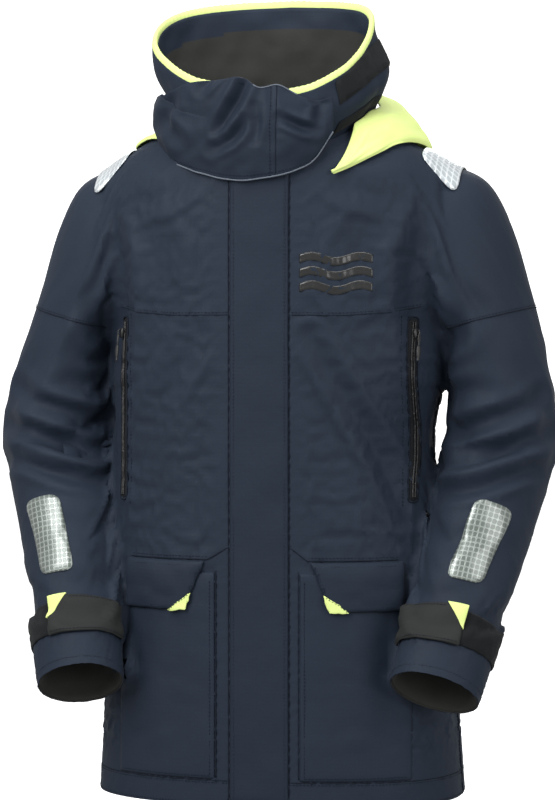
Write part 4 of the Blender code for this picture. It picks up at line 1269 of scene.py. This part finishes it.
GUARD_COLUMNS, GUARD_STEPS, GUARD_SEAM = 150, 70, 116
guard_points = guard_grid(GUARD_COLUMNS, GUARD_STEPS, 0.0)
above_skin = guard_grid(GUARD_COLUMNS, GUARD_STEPS, 0.001)
guard_out = (above_skin - guard_points) * 1000.0
guard_depth = np.zeros(len(guard_points))
for line, half_width, deep in GUARD_CREASES:
    guard_depth += crease_depths(guard_points[:, [0, 2]], line, half_width, deep)
uneven = np.array([0.0035 * crumple(point, 22.0, 1.0) + 0.0016 * crumple(point, 60.0, 3.0)
                   for point in guard_points])
guard_points += guard_out * (uneven - np.minimum(guard_depth, 0.0085))[:, None]
guard_rows = [[Vector(point) for point in guard_points[step * GUARD_COLUMNS:(step + 1) * GUARD_COLUMNS]]
              for step in range(GUARD_STEPS)]


def over_guard(step, column, lift):
    """Point above the guard's outer face, at a row and a column."""
    return guard_rows[step][column] + Vector(guard_out[step % GUARD_STEPS * GUARD_COLUMNS + column]) * lift


roll = []
for depth, drop in ((0.0022, 0.0004), (0.0042, -0.0012), (0.0052, -0.0040), (0.0050, -0.0075)):
    roll.append([over_guard(-1, column, -depth) + Vector((0.0, 0.0, drop))
                 for column in range(GUARD_COLUMNS)])
guard = solid(rows_object("face_guard_cloth", guard_rows + roll), DOUBLE_THICK)
finish_piece(guard, NAVY_DOUBLE)


def bend_guard(piece):
    """A piece of the guard has its transform baked."""
    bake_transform(piece)


attach(guard, bend_guard, "shell_navy", "face_guard")
store = ([], [])
tube(store, [over_guard(0, column, 0.0004) for column in range(6, GUARD_COLUMNS)], 0.0010, 6)
tube(store, [over_guard(-1, column, 0.0003) for column in range(104, 128)], 0.0008, 6)
sewn("face_guard_piping", store, PIPING, bend_guard, "shell_navy")
store = ([], [])
# Dark line down the guard's seam: painted shade in the seam groove.
tube(store, [over_guard(step, GUARD_SEAM, 0.0002) for step in range(GUARD_STEPS)], 0.0005, 5)
stitches(store, [over_guard(step, GUARD_SEAM - 3, 0.0004) for step in range(GUARD_STEPS)])
stitches(store, [over_guard(3, column, 0.0004) for column in range(2, GUARD_COLUMNS - 2)])
sewn("face_guard_seam", store, SEAM_SHADE, bend_guard, "shell_navy")
patch_rows = [[over_guard(step, column, 0.0012 + 0.0004 * crumple(guard_rows[step][column], 900.0, 2.0))
               for column in range(1, 13)] for step in range(14, 58)]
guard_hook = finish_piece(solid(rows_object("face_guard_hook_strip", patch_rows), 0.0010), HOOK)
attach(guard_hook, bend_guard, "hook_loop", "face_guard_patch")

# ---- Hood, folded down ----
WING_TURNS = (31.0, 46.0, 56.0, 66.0, 77.0, 90.0, 110.0, 141.0)
WING_RISES = (0.00, 0.04, 0.10, 0.14, 0.15, 0.17, 0.20, 0.32)
WING_LEVELS = (1.780, 1.785, 1.785, 1.785, 1.770, 1.730, 1.680, 1.600)
WING_BULKS = (0.001, 0.003, 0.004, 0.004, 0.005, 0.007, 0.013, 0.029)
WING_CURVES = [quick_curve(WING_TURNS, table) for table in (WING_RISES, WING_LEVELS, WING_BULKS)]


def wing_row(turn, side, thin):
    """One section of the hood beside the collar, from the collar over to the shoulder."""
    rise, level, bulk = (curve(turn) for curve in WING_CURVES)
    bulk *= thin
    angle = math.radians(turn)
    if side < 0:
        spread = unit((turn - 50.0) / 40.0)
        rise *= 0.25
        level = 2.0 - (2.0 - level) * (0.35 + 0.65 * spread)
    own = collar_at(turn * side, rise, 0.0035)
    under = outside(body_point, angle, level, 0.0030)
    opening = unit((turn - WING_TURNS[0]) / 30.0)
    high = under.lerp(Vector((own.x * side, own.y, own.z)), 0.02 + 0.98 * opening)
    over = outside(body_point, angle, level + 0.015, 0.0045 + bulk * 0.35)
    way = outside(body_point, angle, level, 1.0) - body_point(angle, level)
    crown = high.lerp(under, 0.42) + way * bulk + Vector((0.0, 0.0, bulk * 0.35))
    shoulder = crown.lerp(over, 0.55) + way * bulk * 0.30
    controls = [high, high.lerp(crown, 0.55) + Vector((0.0, 0.0, bulk * 0.10)), crown, shoulder, over, under]
    row = []
    for place, point in smooth_path([[*point] for point in controls], 34):
        ends = math.sin(math.pi * place / 5.0)
        wave = math.sin(9.0 * place / 5.0 + turn * 0.05)
        fold = 0.0045 * thin * wave * crumple((turn * 0.012, place * 0.3, 0.0), 4.0, 3.0)
        aside = (point - Vector((0.0, 0.0, point.z))).normalized()
        point += aside * (fold + 0.0030 * crumple(point, 34.0, 7.0)) * ends
        row.append(Vector((point.x * side, point.y, point.z)))
    return row


def bend_hood(piece):
    """A piece of the folded hood has its transform baked."""
    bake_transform(piece)


for side, label in LABELS.items():
    turns = np.linspace(WING_TURNS[0], WING_TURNS[-1], 90)
    rows = [wing_row(turn, side, 1.0 if side > 0 else 0.25 + 0.55 * unit((turn - 85.0) / 25.0))
            for turn in turns]
    edge = [row[30] + Vector((0.0, 0.0, 0.0012)) for row in rows]
    if side > 0:
        rows = [list(reversed(row)) for row in rows]
    wing = finish_piece(solid(rows_object("hood_side_" + label, rows), SHELL_THICK), LIME)
    attach(wing, "jacket_body", "lime_fabric", "hood_wing_" + label)
    store = ([], [])
    stitches(store, edge, 0.0046, 0.0005)
    sewn("hood_side_stitching_" + label, store, LIME_RIB, "jacket_body", "lime_fabric")

HOOD_PATH = ((0, 0.36, 0.0065), (0, 0.16, 0.0080), (1, 1.95, 0.0085), (1, 1.78, 0.0070), (1, 1.55, 0.0065),
             (1, 1.34, 0.0075), (1, 1.235, 0.0180), (1, 1.25, 0.0330), (1, 1.40, 0.0450), (1, 1.60, 0.0500),
             (1, 1.80, 0.0490), (1, 1.95, 0.0460), (1, 2.06, 0.0400))
hood_rows = []
for turn in np.linspace(140.0, 220.0, 100):
    ends = math.sin(math.pi * (0.10 + 0.80 * (turn - 140.0) / 80.0)) ** 0.6
    table = []
    for on_body, first, lift in HOOD_PATH:
        lift = 0.0065 + (lift - 0.0065) * (0.45 + 0.55 * ends)
        angle = math.radians(turn)
        if on_body:
            table.append([*outside(body_point, angle, min(first, 1.99), lift)])
            table[-1][2] += max(0.0, first - 1.99) * 0.25
        else:
            table.append([*collar_at(turn, first, lift)])
    row = []
    for place, point in smooth_path(table, 66):
        free = unit((place - 6.0) / 2.5)
        wave = math.sin((turn - 180.0) * 0.21 + place * 0.25)
        pleat = 0.0050 * wave * crumple((turn * 0.02, place * 0.10, 0.0), 3.0, 9.0)
        point += Vector((0.0, 1.0, 0.0)) * (pleat + 0.0045 * crumple(point, 22.0, 11.0)) * free
        row.append(point)
    hood_rows.append(row)
hood = finish_piece(solid(rows_object("hood_folded_back", hood_rows), SHELL_THICK, 1.0), LIME)
attach(hood, bend_hood, "lime_fabric", "hood_body")
store = ([], [])
for column in (62, 64):
    stitches(store, [row[column] + Vector((0.0, 0.0022, 0.0)) for row in hood_rows], 0.0046, 0.0005)
sewn("hood_edge_stitching", store, LIME_RIB, bend_hood, "lime_fabric")

# ---- Storm flap down the front ----
FLAP_LEFT, FLAP_RIGHT = -0.0315, 0.0375
FLAP_LOW, FLAP_HIGH = 0.004, 0.739


def bend_storm(piece):
    """A piece of the storm flap has its transform baked."""
    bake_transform(piece)


laid("storm_flap_cloth", block(FLAP_LEFT, FLAP_LOW, FLAP_RIGHT, FLAP_HIGH), front_at, NAVY_DOUBLE,
     bend_storm, "shell_navy", "storm_flap",
     spacing=0.0065, thickness=0.0018, lift=0.0012, crown=0.0020,
     edge=0.0035, corner=0.003, ripple=0.0012, grain=26.0)
store = ([], [])
for across in (FLAP_LEFT + 0.0045, FLAP_RIGHT - 0.0045):
    stitches(store, run_of(front_at, (across, 0.010), (across, 0.733), 120, 0.0035))
sewn("storm_flap_stitching", store, THREAD, bend_storm, "shell_navy")
store = ([], [])
# Dark lines just outside both edges of the storm flap: painted shadow beside the flap.
tube(store, run_of(front_at, (0.0385, 0.004), (0.0385, 0.742), 120, 0.0004), 0.0004, 6)
tube(store, run_of(front_at, (-0.0335, 0.004), (-0.0335, 0.742), 120, 0.0001), 0.0008, 6)
sewn("storm_flap_sewn_seam", store, SEAM_SHADE, "jacket_body", "shell_navy", "storm_flap_seam")

# ---- Cargo pockets, flaps and lime corners ----
POCKET = block(0.0500, 0.0305, 0.1750, 0.272)
CARGO_FLAP = [(0.0868, 0.2275), (0.1640, 0.2275), (0.1640, 0.2850), (0.0625, 0.2850)]
FLAP_CORNER = [(0.0842, 0.2269), (0.1060, 0.2269), (0.0780, 0.2480)]
FLAP_ROWS = (((0.110, 0.2308), (0.1600, 0.2308)), ((0.0800, 0.2470), (0.0670, 0.2805)),
             ((0.068, 0.2800), (0.1600, 0.2800)))


def cargo_pocket(side, label):
    """One lower pocket with its seams, its flap and the flap's lime corner."""
    place = front_on(side)
    laid("cargo_pocket_cloth_" + label, POCKET, place, NAVY,
         "jacket_body", "shell_navy", "cargo_pocket_" + label,
         spacing=0.0075, thickness=0.0011, lift=0.0004, crown=0.0014,
         edge=0.006, corner=0.003, ripple=0.0016, grain=15.0)
    store = ([], [])
    # Dark line down the pocket's inner edge: painted shade of the pleat there, wider on the right pocket.
    tube(store, run_of(place, (0.0490, 0.033), (0.0490, 0.274), 60, 0.0006),
         0.0010 if side < 0 else 0.0004, 6)
    stitches(store, run_of(place, (0.0560, 0.036), (0.0560, 0.262), 60, 0.0022))
    stitches(store, run_of(place, (0.0560, 0.0345), (0.170, 0.0345), 30, 0.0020))
    sewn("cargo_pocket_seams_" + label, store, SEAM_SHADE, "jacket_body", "shell_navy")

    def flap_lift(_across, height):
        """The flap rests on its pocket and is sewn flat at the top."""
        share = unit((0.2845 - height) / 0.020)
        return 0.0014 + 0.0030 * share * (2.0 - share)

    def corner_lift(across, height):
        """The lime corner sits on its flap."""
        return flap_lift(across, height) + 0.0026

    def bend_flap(piece):
        """A piece of a cargo flap has its transform baked."""
        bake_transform(piece)

    laid("cargo_flap_cloth_" + label, CARGO_FLAP, place, NAVY_DOUBLE,
         bend_flap, "shell_navy", "cargo_flap_" + label,
         spacing=0.0060, thickness=0.0022, lift=flap_lift, crown=0.0016,
         edge=0.004, corner=0.0025, ripple=0.0010, grain=30.0)
    laid("cargo_flap_lime_corner_" + label, FLAP_CORNER, place, LIME,
         bend_flap, "lime_fabric", "cargo_flap_corner_" + label,
         spacing=0.0025, thickness=0.0026, lift=corner_lift, crown=0.0003, edge=0.001, corner=0.0005)
    store = ([], [])
    for start, end in FLAP_ROWS:
        spots = [(start[0] + (end[0] - start[0]) * t, start[1] + (end[1] - start[1]) * t)
                 for t in np.linspace(0.0, 1.0, 20)]
        stitches(store, [place(u, v, flap_lift(u, v) + 0.0015) for u, v in spots])
    stitches(store, [place(u, v, flap_lift(u, v) + 0.0032) for u, v in
                     zip(np.linspace(0.1040, 0.0795, 10), np.linspace(0.2279, 0.2460, 10))], 0.004, 0.0004)
    sewn("cargo_flap_stitching_" + label, store, THREAD, bend_flap, "shell_navy")


for side, label in LABELS.items():
    cargo_pocket(side, label)

# ---- Chest zips ----
ZIP_X, ZIP_HIGH, ZIP_LOW = 0.1718, 0.562, 0.358
ZIP_TAPE = block(ZIP_X - 0.0042, ZIP_LOW - 0.004, ZIP_X + 0.0042, ZIP_HIGH + 0.004)
CHEST_BAG = [(0.070, 0.345), (0.150, 0.345), (0.154, 0.545), (0.074, 0.545)]
SLIDER_TOP, SLIDER_BELOW = 0.5480, 0.5300
SLIDER_HALF = 0.0062
# Sections of a slider from its top to its low end: place along its half length, half width, half depth.
SLIDER_SECTIONS = ((-1.0, 0.0016, 0.0008), (-0.92, 0.0030, 0.0016), (-0.55, 0.0042, 0.0022),
                   (0.0, 0.0040, 0.0024), (0.5, 0.0030, 0.0022), (0.9, 0.0022, 0.0016),
                   (1.0, 0.0012, 0.0008))


def zip_track(place, label):
    """Tape, coil and welt of one chest zip."""
    laid("chest_zip_tape_" + label, ZIP_TAPE, place, TAPE, "jacket_body", "loop_tape",
         spacing=0.0040, thickness=0.0010, lift=0.0006, crown=0.0006, edge=0.002, corner=0.004)
    store = ([], [])
    for shift in (-0.00105, 0.00105):
        run = run_of(place, (ZIP_X + shift, ZIP_LOW), (ZIP_X + shift, ZIP_HIGH), 80, 0.0019)
        fine = resample(run, 0.0005)
        sizes = [0.00125 + 0.00035 * math.sin(math.tau * index / 3.0) for index in range(len(fine))]
        tube(store, fine, 0.0012, 6, sizes=sizes)
    sewn("chest_zip_coil_" + label, store, COIL, "jacket_body", "black_coil", "chest_zip_" + label)
    store = ([], [])
    border = rounded(block(ZIP_X - 0.0050, ZIP_LOW - 0.006, ZIP_X + 0.0050, ZIP_HIGH + 0.006), 0.0045)
    loop = []
    for start, end in zip(border, border[1:] + border[:1]):
        steps = max(1, round(math.dist(start, end) / 0.004))
        loop += run_of(place, start, end, steps, 0.0006)[:-1]
    # Dark outline round the welt: painted shade at its edge.
    tube(store, loop, 0.0009, 7, closed=True)
    heights = np.linspace(ZIP_LOW - 0.01, ZIP_HIGH + 0.01, 70)
    stitches(store, [place(ZIP_X - 0.0105, height, 0.0004) for height in heights])
    sewn("chest_zip_welt_" + label, store, SEAM_SHADE, "jacket_body", "shell_navy")


def zip_slider(place, label):
    """Slider of one chest zip; returns its middle and its down, outward and sideways directions."""
    top = place(ZIP_X, SLIDER_TOP, 0.0)
    down = (place(ZIP_X, SLIDER_BELOW, 0.0) - top).normalized()
    out = (place(ZIP_X, SLIDER_TOP, 0.01) - top).normalized()
    out = (out - down * out.dot(down)).normalized()
    across = down.cross(out)
    slider_at = top + out * 0.0052
    rows = []
    for share, wide, tall in SLIDER_SECTIONS:
        ring = []
        for step in range(16):
            angle = math.tau * step / 16
            x = math.copysign(abs(math.sin(angle)) ** 0.6, math.sin(angle)) * wide
            y = math.copysign(abs(math.cos(angle)) ** 0.6, math.cos(angle)) * tall
            ring.append(slider_at + down * (SLIDER_HALF * share) + across * x + out * y)
        rows.append(ring)
    slider = rows_object("chest_zip_slider_" + label, rows, True, True, True)
    bridge = ([], [])
    tube(bridge, [slider_at + down * (0.0040 * math.cos(a)) + out * (0.0018 + 0.0032 * math.sin(a))
                  for a in np.linspace(0.0, math.pi, 12)], 0.0008, 8)
    loop_top = mesh_object("bridge", *bridge)
    with editing(slider.data) as joined:
        joined.from_mesh(loop_top.data)
    bpy.data.objects.remove(loop_top, do_unlink=True)
    face_outward(slider.data)
    finish_piece(slider, COIL)
    attach(slider, "chest_slider_" + label, "black_coil", "chest_slider_" + label)
    return slider_at, down, out, across


def zip_pull(label, slider_at, down, out, across):
    """Cord loop and grip of one chest zip's puller."""
    eye = slider_at + out * 0.0042 + down * 0.0030
    store = ([], [])
    for shift in (-0.0013, 0.0013):
        tube(store, [eye + down * (0.014 * t) + across * shift * math.sin(math.pi * min(1.0, 0.2 + t))
                     + out * 0.0006 for t in np.linspace(-0.12, 1.0, 14)], 0.00085, 8)
    grip_rows = []
    for t in np.linspace(0.0, 1.0, 26):
        ridge = 0.00035 if int(t * 25) % 3 == 0 else 0.0
        wide = 0.0018 + 0.0014 * math.sin(math.pi * min(1.0, t * 1.15 + 0.08)) + ridge
        deep = wide * 0.62
        if t in (0.0, 1.0):
            wide, deep = wide * 0.5, deep * 0.5
        centre = eye + down * (0.0125 + 0.0190 * t) + out * 0.0008
        grip_rows.append([centre + across * math.sin(math.tau * s / 14) * wide
                          + out * math.cos(math.tau * s / 14) * deep for s in range(14)])
    add_rings(store, grip_rows)
    pull = mesh_object("chest_zip_pull_" + label, *store)
    face_outward(pull.data)
    finish_piece(pull, CORD)
    attach(pull, "chest_pull_" + label, "black_coil", "chest_pull_" + label)


for side, label in LABELS.items():
    place = front_on(side)
    zip_track(place, label)
    zip_pull(label, *zip_slider(place, label))
    laid("chest_pocket_lining_" + label, CHEST_BAG, place, LINING,
         "jacket_body", "charcoal_fabric", "chest_pocket_bag_" + label,
         spacing=0.014, thickness=0.0012, lift=-0.0120, crown=0.0015,
         edge=0.01, corner=0.02, ripple=0.002, grain=14.0)

# ---- Emblem: three plain waves ----
EMBLEM_X, EMBLEM_WIDE, EMBLEM_Z = 0.050, 0.082, 0.597
EMBLEM_STRIPES = ((0.0, 0.010), (0.0165, 0.0265), (0.033, 0.043))
emblem_points, emblem_faces = [], []


def emblem_grid(low, high, first, last, columns):
    """Add one strip of the emblem."""
    base = len(emblem_points)
    for step in range(5):
        for column in range(columns):
            share = first + (last - first) * column / (columns - 1)
            wave = 0.0032 * math.sin(math.tau * share * 1.5)
            emblem_points.append(front_at(EMBLEM_X + EMBLEM_WIDE * share,
                                          EMBLEM_Z + low + (high - low) * step / 4 + wave, 0.0007))
    for step in range(4):
        for column in range(columns - 1):
            start = base + step * columns + column
            emblem_faces.append((start, start + 1, start + columns + 1, start + columns))


for low, high in EMBLEM_STRIPES:
    emblem_grid(low, high, 0.0, 1.0, 49)
emblem = mesh_object("chest_wave_emblem", emblem_points, emblem_faces)
finish_piece(solid(emblem, 0.0006), EMBLEM)
attach(emblem, "jacket_body", "emblem_film", "chest_emblem")

# ---- Reflectors ----
SHOULDER_PATCH = [(0.176, -0.056), (0.219, -0.052), (0.219, 0.046), (0.176, 0.050)]
FOREARM_PATCH = [(0.0, 0.1120), (0.0480, 0.1120), (0.0330, 0.2070), (-0.0150, 0.2070)]


def averaged(place, reach):
    """A calmer version of a place: the mean of nine points round it."""
    def at(across, along, lift):
        total = Vector()
        for aside in (-reach, 0.0, reach):
            for forward in (-reach, 0.0, reach):
                total += place(across + aside, along + forward, lift)
        return total / 9.0
    return at


for side, label in LABELS.items():
    # The shoulder reflectors take the brighter film, a painted highlight on the shoulder tops; the forearm
    # reflectors take the plain film.
    laid("shoulder_reflector_film_" + label, SHOULDER_PATCH, averaged(top_on(side), 0.011), LIT_SHOULDER_FILM,
         "jacket_body", "reflective_film", "shoulder_reflector_" + label,
         spacing=0.006, thickness=0.0010, lift=0.0030, crown=0.0008, edge=0.002, corner=0.012)
    laid("forearm_reflector_film_" + label, FOREARM_PATCH, arm_on(side), FILM,
         "forearm_" + label, "reflective_film", "forearm_reflector_" + label,
         spacing=0.006, thickness=0.0010, lift=0.0010, crown=0.0010, edge=0.002, corner=0.013)

# ---- Cuffs ----
TAB_UP, TAB_LOW, TAB_MIDDLE = 0.2360, 0.2835, 0.2600
TAB_ROOT = -0.082
TAB = [(TAB_ROOT, TAB_UP + 0.002), (0.0225, TAB_UP), (0.0225, TAB_LOW), (TAB_ROOT, TAB_LOW - 0.002)]
TAB_CORNER = [(0.0232, TAB_UP - 0.0008), (0.0232, TAB_UP + 0.0255), (-0.0030, TAB_UP - 0.0008)]
STRAP = block(0.018, 0.2405, 0.112, 0.2810)
# Rows of the inner cuff from the sleeve's edge: distance back along the arm and lift.
INNER_CUFF = ((0.0012, -0.0024), (0.0050, -0.0040), (0.0150, -0.0065), (0.0290, -0.0085), (0.0470, -0.0105),
              (0.0700, -0.0125), (0.1000, -0.0150))
CUFF_STEPS = 64


def cuff_tab(place, label):
    """Hook strap and tab of one cuff."""
    root, bent = (SHIFT + place(around, TAB_MIDDLE, 0.0) for around in (TAB_ROOT, TAB_ROOT + 0.030))

    def bend_tab(piece):
        """A piece of a cuff tab has its transform baked; its root and a point beside it are worked out but
        not used.
        """
        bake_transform(piece)
        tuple(root)
        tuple(bent)

    laid("cuff_hook_strap_" + label, STRAP, place, HOOK,
         "forearm_" + label, "hook_loop", "cuff_loop_strap_" + label,
         spacing=0.0045, thickness=0.0016, lift=0.0014, crown=0.0010,
         edge=0.003, corner=0.004, ripple=0.0009, grain=800.0)
    laid("cuff_tab_cloth_" + label, TAB, place, CHARCOAL, bend_tab, "charcoal_fabric", "cuff_tab_" + label,
         spacing=0.0055, thickness=0.0024, lift=0.0036, crown=0.0022,
         edge=0.004, corner=0.003, ripple=0.0010, grain=30.0)
    laid("cuff_tab_lime_corner_" + label, TAB_CORNER, place, LIME,
         "cuff_tab_" + label, "lime_fabric", "cuff_tab_corner_" + label,
         spacing=0.0045, thickness=0.0030, lift=0.0060, crown=0.0006, edge=0.002, corner=0.0008)
    store = ([], [])
    for along in (TAB_UP + 0.0040, TAB_LOW - 0.0040):
        end = -0.004 if along < TAB_MIDDLE else 0.0185
        stitches(store, run_of(place, (TAB_ROOT + 0.004, along), (end, along), 40, 0.0060))
    sewn("cuff_tab_stitching_" + label, store, SEAM_SHADE, bend_tab, "charcoal_fabric")


def cuff_edge(place, side, label):
    """Inner cuff and the stitching round the sleeve's edge."""
    wrist = Vector((side * WRIST_LINE.x, WRIST_LINE.y, WRIST_LINE.z))
    cuff_cut = Vector((side * CUFF_CUT.x, CUFF_CUT.y, CUFF_CUT.z))
    cuff_end = Vector((side * CUFF_END.x, CUFF_END.y, CUFF_END.z))

    def to_end(around):
        """Distance along the arm at which the cuff is cut, at one place round it."""
        start = place(around, 0.300, 0.0)
        return 0.300 + (cuff_end - start).dot(cuff_cut) / wrist.dot(cuff_cut)

    cuff_rows = []
    for back, lift in INNER_CUFF:
        row = []
        for step in range(CUFF_STEPS):
            around = math.tau * ARM_ROUND * step / CUFF_STEPS
            if around > math.pi * ARM_ROUND:
                around -= math.tau * ARM_ROUND
            along = to_end(around) - back
            point = place(around, along, lift)
            out = (point - place(around, along, lift - 0.01)).normalized()
            point += out * 0.0045 * crumple(point, 34.0, 4.0) * min(1.0, (back - 0.0012) / 0.012)
            row.append(point)
        cuff_rows.append(row)
    lines = [[point for _place, point in smooth_path([[*row[step]] for row in cuff_rows], 26)]
             for step in range(CUFF_STEPS)]
    smooth_rows = [list(ring) for ring in zip(*lines)]
    inner = rows_object("inner_cuff_lining_" + label, smooth_rows, True)
    with editing(inner.data) as work:
        bmesh.ops.recalc_face_normals(work, faces=list(work.faces))
        sample = next(iter(work.faces))
        centre = sum((vertex.co for vertex in work.verts), Vector()) / len(work.verts)
        if sample.normal.dot(sample.calc_center_median() - centre) > 0.0:
            bmesh.ops.reverse_faces(work, faces=list(work.faces))
    finish_piece(solid(inner, THIN_THICK), LINING)
    attach(inner, "forearm_" + label, "charcoal_fabric", "inner_cuff_" + label)
    store = ([], [])
    ring = []
    for step in range(91):
        around = math.tau * ARM_ROUND * (step / 90 - 0.5)
        ring.append(place(around, to_end(around) - 0.0100, 0.0005))
    stitches(store, ring)
    sewn("cuff_stitching_" + label, store, THREAD, "forearm_" + label, "cuff_navy")


for side, label in LABELS.items():
    place = arm_on(side)
    cuff_tab(place, label)
    cuff_edge(place, side, label)

# ---- Seams of the shell: dark tubes and stitches, the tubes painted shade in the seam grooves ----
store = ([], [])
for side in (-1, 1):
    place = front_on(side)
    inner = 0.0345 if side < 0 else 0.0405
    heights = ((inner, 0.5705), (0.10, 0.5700), (0.15, 0.5735), (0.180, 0.580))
    yoke = []
    for start, end in zip(heights, heights[1:]):
        yoke += run_of(place, start, end, 14)
    tube(store, yoke, 0.0005, 6)
    stitches(store, [point + Vector((0.0, 0.0, 0.0028)) for point in yoke])
    tube(store, run_of(place, (inner, 0.3010), (0.0590, 0.2868), 10), 0.0007, 6)
    tube(store, run_of(place, (0.0590, 0.2868), (0.158, 0.2868), 26), 0.0008, 6)
    stitches(store, run_of(place, (0.0590, 0.2900), (0.158, 0.2900), 26))
    tube(store, [round_body(side * 90.0, height) for height in np.linspace(0.004, 0.50, 80)], 0.0008, 6)
    stitches(store, [round_body(side * 90.0 - 1.0, height) for height in np.linspace(0.004, 0.50, 80)])
hem_turns = np.linspace(0.0, 360.0, 220)
tube(store, [round_body(turn, 0.0295, 0.0003) for turn in hem_turns], 0.0006, 5)
stitches(store, [round_body(turn, 0.0270) for turn in hem_turns])
stitches(store, [round_body(turn, 0.0035) for turn in hem_turns])
back_turns = np.linspace(112.0, 248.0, 90)
tube(store, [round_body(turn, 0.5700) for turn in back_turns], 0.0007, 6)
stitches(store, [round_body(turn, 0.5728) for turn in back_turns])
sewn("shell_seams", store, SEAM_SHADE, "jacket_body", "shell_navy")


def seam_height(point):
    """Height of the seam round the upper sleeve, which rises outward."""
    return 0.553 + 0.25 * (abs(point.x) - 0.20)


for side, label in LABELS.items():
    store = ([], [])
    seam = []
    for turn in np.linspace(-150.0, 150.0, 100):
        tries = [arm_on(side)(math.radians(turn) * ARM_ROUND, float(along), 0.0006)
                 for along in (-0.13, *np.linspace(-0.20, -0.09, 23))]
        best = min(tries, key=lambda point: abs(point.z - seam_height(point)))
        best.z = seam_height(best)
        seam.append(best)
    # Dark line round the upper sleeve: painted shade in the seam groove.
    tube(store, seam, 0.0007, 6)
    stitches(store, [point + Vector((0.0, 0.0, 0.0028)) for point in seam])
    sleeve_seam = from_store("sleeve_seam_" + label, store, SEAM_SHADE)
    bend_cap(sleeve_seam, side)

# ---- Main zip and hanger loop: the modelled parts, in their materials ----
for node, material in (("main_zip_chain", COIL), ("main_zip_tape_left", TAPE), ("main_zip_tape_right", TAPE),
                       ("main_slider", COIL), ("main_pull", CORD), ("hanger_loop", TAPE)):
    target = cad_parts[node]
    target.data.materials.clear()
    target.data.materials.append(material)

# ---- Camera, light and floor ----
CAMERA_TURN = 12.0
CAMERA_LIFT = 2.0
CAMERA_AWAY = 3.6
FRAME_TALL = 0.960
SENSOR = 36.0
AIM_ASIDE = -0.0054
AIM_HEIGHT = 0.4675


def aimed(azimuth, elevation):
    """Direction from the garment at an azimuth from its front and an elevation, in degrees."""
    turn, lift = math.radians(azimuth), math.radians(elevation)
    return Vector((math.sin(turn) * math.cos(lift), -math.cos(turn) * math.cos(lift), math.sin(lift)))


camera_turn = math.radians(CAMERA_TURN)
aim = SHIFT + Vector((AIM_ASIDE * math.cos(camera_turn), AIM_ASIDE * math.sin(camera_turn), AIM_HEIGHT))
outward = aimed(CAMERA_TURN, CAMERA_LIFT)
lens = bpy.data.cameras.new("camera")
lens.sensor_width = SENSOR
lens.lens = SENSOR * CAMERA_AWAY / FRAME_TALL
camera = linked("camera", lens)
camera.location = aim + outward * CAMERA_AWAY
camera.rotation_euler = (-outward).to_track_quat("-Z", "Y").to_euler()
bpy.context.scene.camera = camera


def soft_light(name, azimuth, elevation, away, size, power):
    """Area light aimed at the garment."""
    data = bpy.data.lights.new(name, "AREA")
    data.shape = "RECTANGLE"
    data.size, data.size_y = size
    data.energy = power
    made = linked(name, data)
    direction = aimed(azimuth, elevation)
    made.location = aim + direction * away
    made.rotation_euler = (-direction).to_track_quat("-Z", "Y").to_euler()


soft_light("key_light", -28.0, 32.0, 2.4, (1.4, 1.6), 62.0)
soft_light("fill_light", 52.0, 12.0, 2.6, (1.4, 1.8), 30.0)
soft_light("top_light", 12.0, 78.0, 2.2, (1.6, 1.2), 26.0)
soft_light("back_light", 190.0, 35.0, 2.6, (1.6, 1.4), 22.0)
world = bpy.data.worlds.new("studio")
bpy.context.scene.world = world
world.use_nodes = True
sky = world.node_tree.nodes["Background"].inputs
sky["Color"].default_value = (1.0, 1.0, 1.0, 1.0)
sky["Strength"].default_value = 0.55
bpy.context.scene.view_settings.view_transform = "Standard"


def backdrop_material(name, colour, strength):
    """Paint for the floor and backdrop, which shine evenly towards the camera."""
    return Paint(name, colour, 0.9, **{"Emission Color": (*colour, 1.0), "Emission Strength": strength}).made


def camera_only(made):
    """Keep a stage piece out of the garment's light and reflections."""
    made.visible_diffuse = made.visible_glossy = made.visible_transmission = made.visible_shadow = False
    made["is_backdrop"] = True


FLOOR_HALF = 13.0
FLOOR_HEIGHT = -0.34
DOME = 20.0
corners = (-FLOOR_HALF, FLOOR_HALF)
floor = rows_object("studio_floor", [[Vector((x, y, FLOOR_HEIGHT)) for x in corners] for y in corners])
floor.location = SHIFT
floor.data.materials.append(backdrop_material("studio_floor_paint", (0.93, 0.93, 0.93), 0.75))
camera_only(floor)
dome_rows = [[aimed(180.0 - turn, lift) * DOME for turn in range(0, 360, 15)] for lift in range(-80, 81, 16)]
dome = rows_object("studio_backdrop", dome_rows, True, True, True)
dome.data.materials.append(backdrop_material("studio_backdrop_paint", (0.98, 0.98, 0.98), 1.0))
camera_only(dome)

low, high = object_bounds()
json_rows = {"cad": [list(cad_low), list(cad_high)], "visual": [list(low), list(high)]}
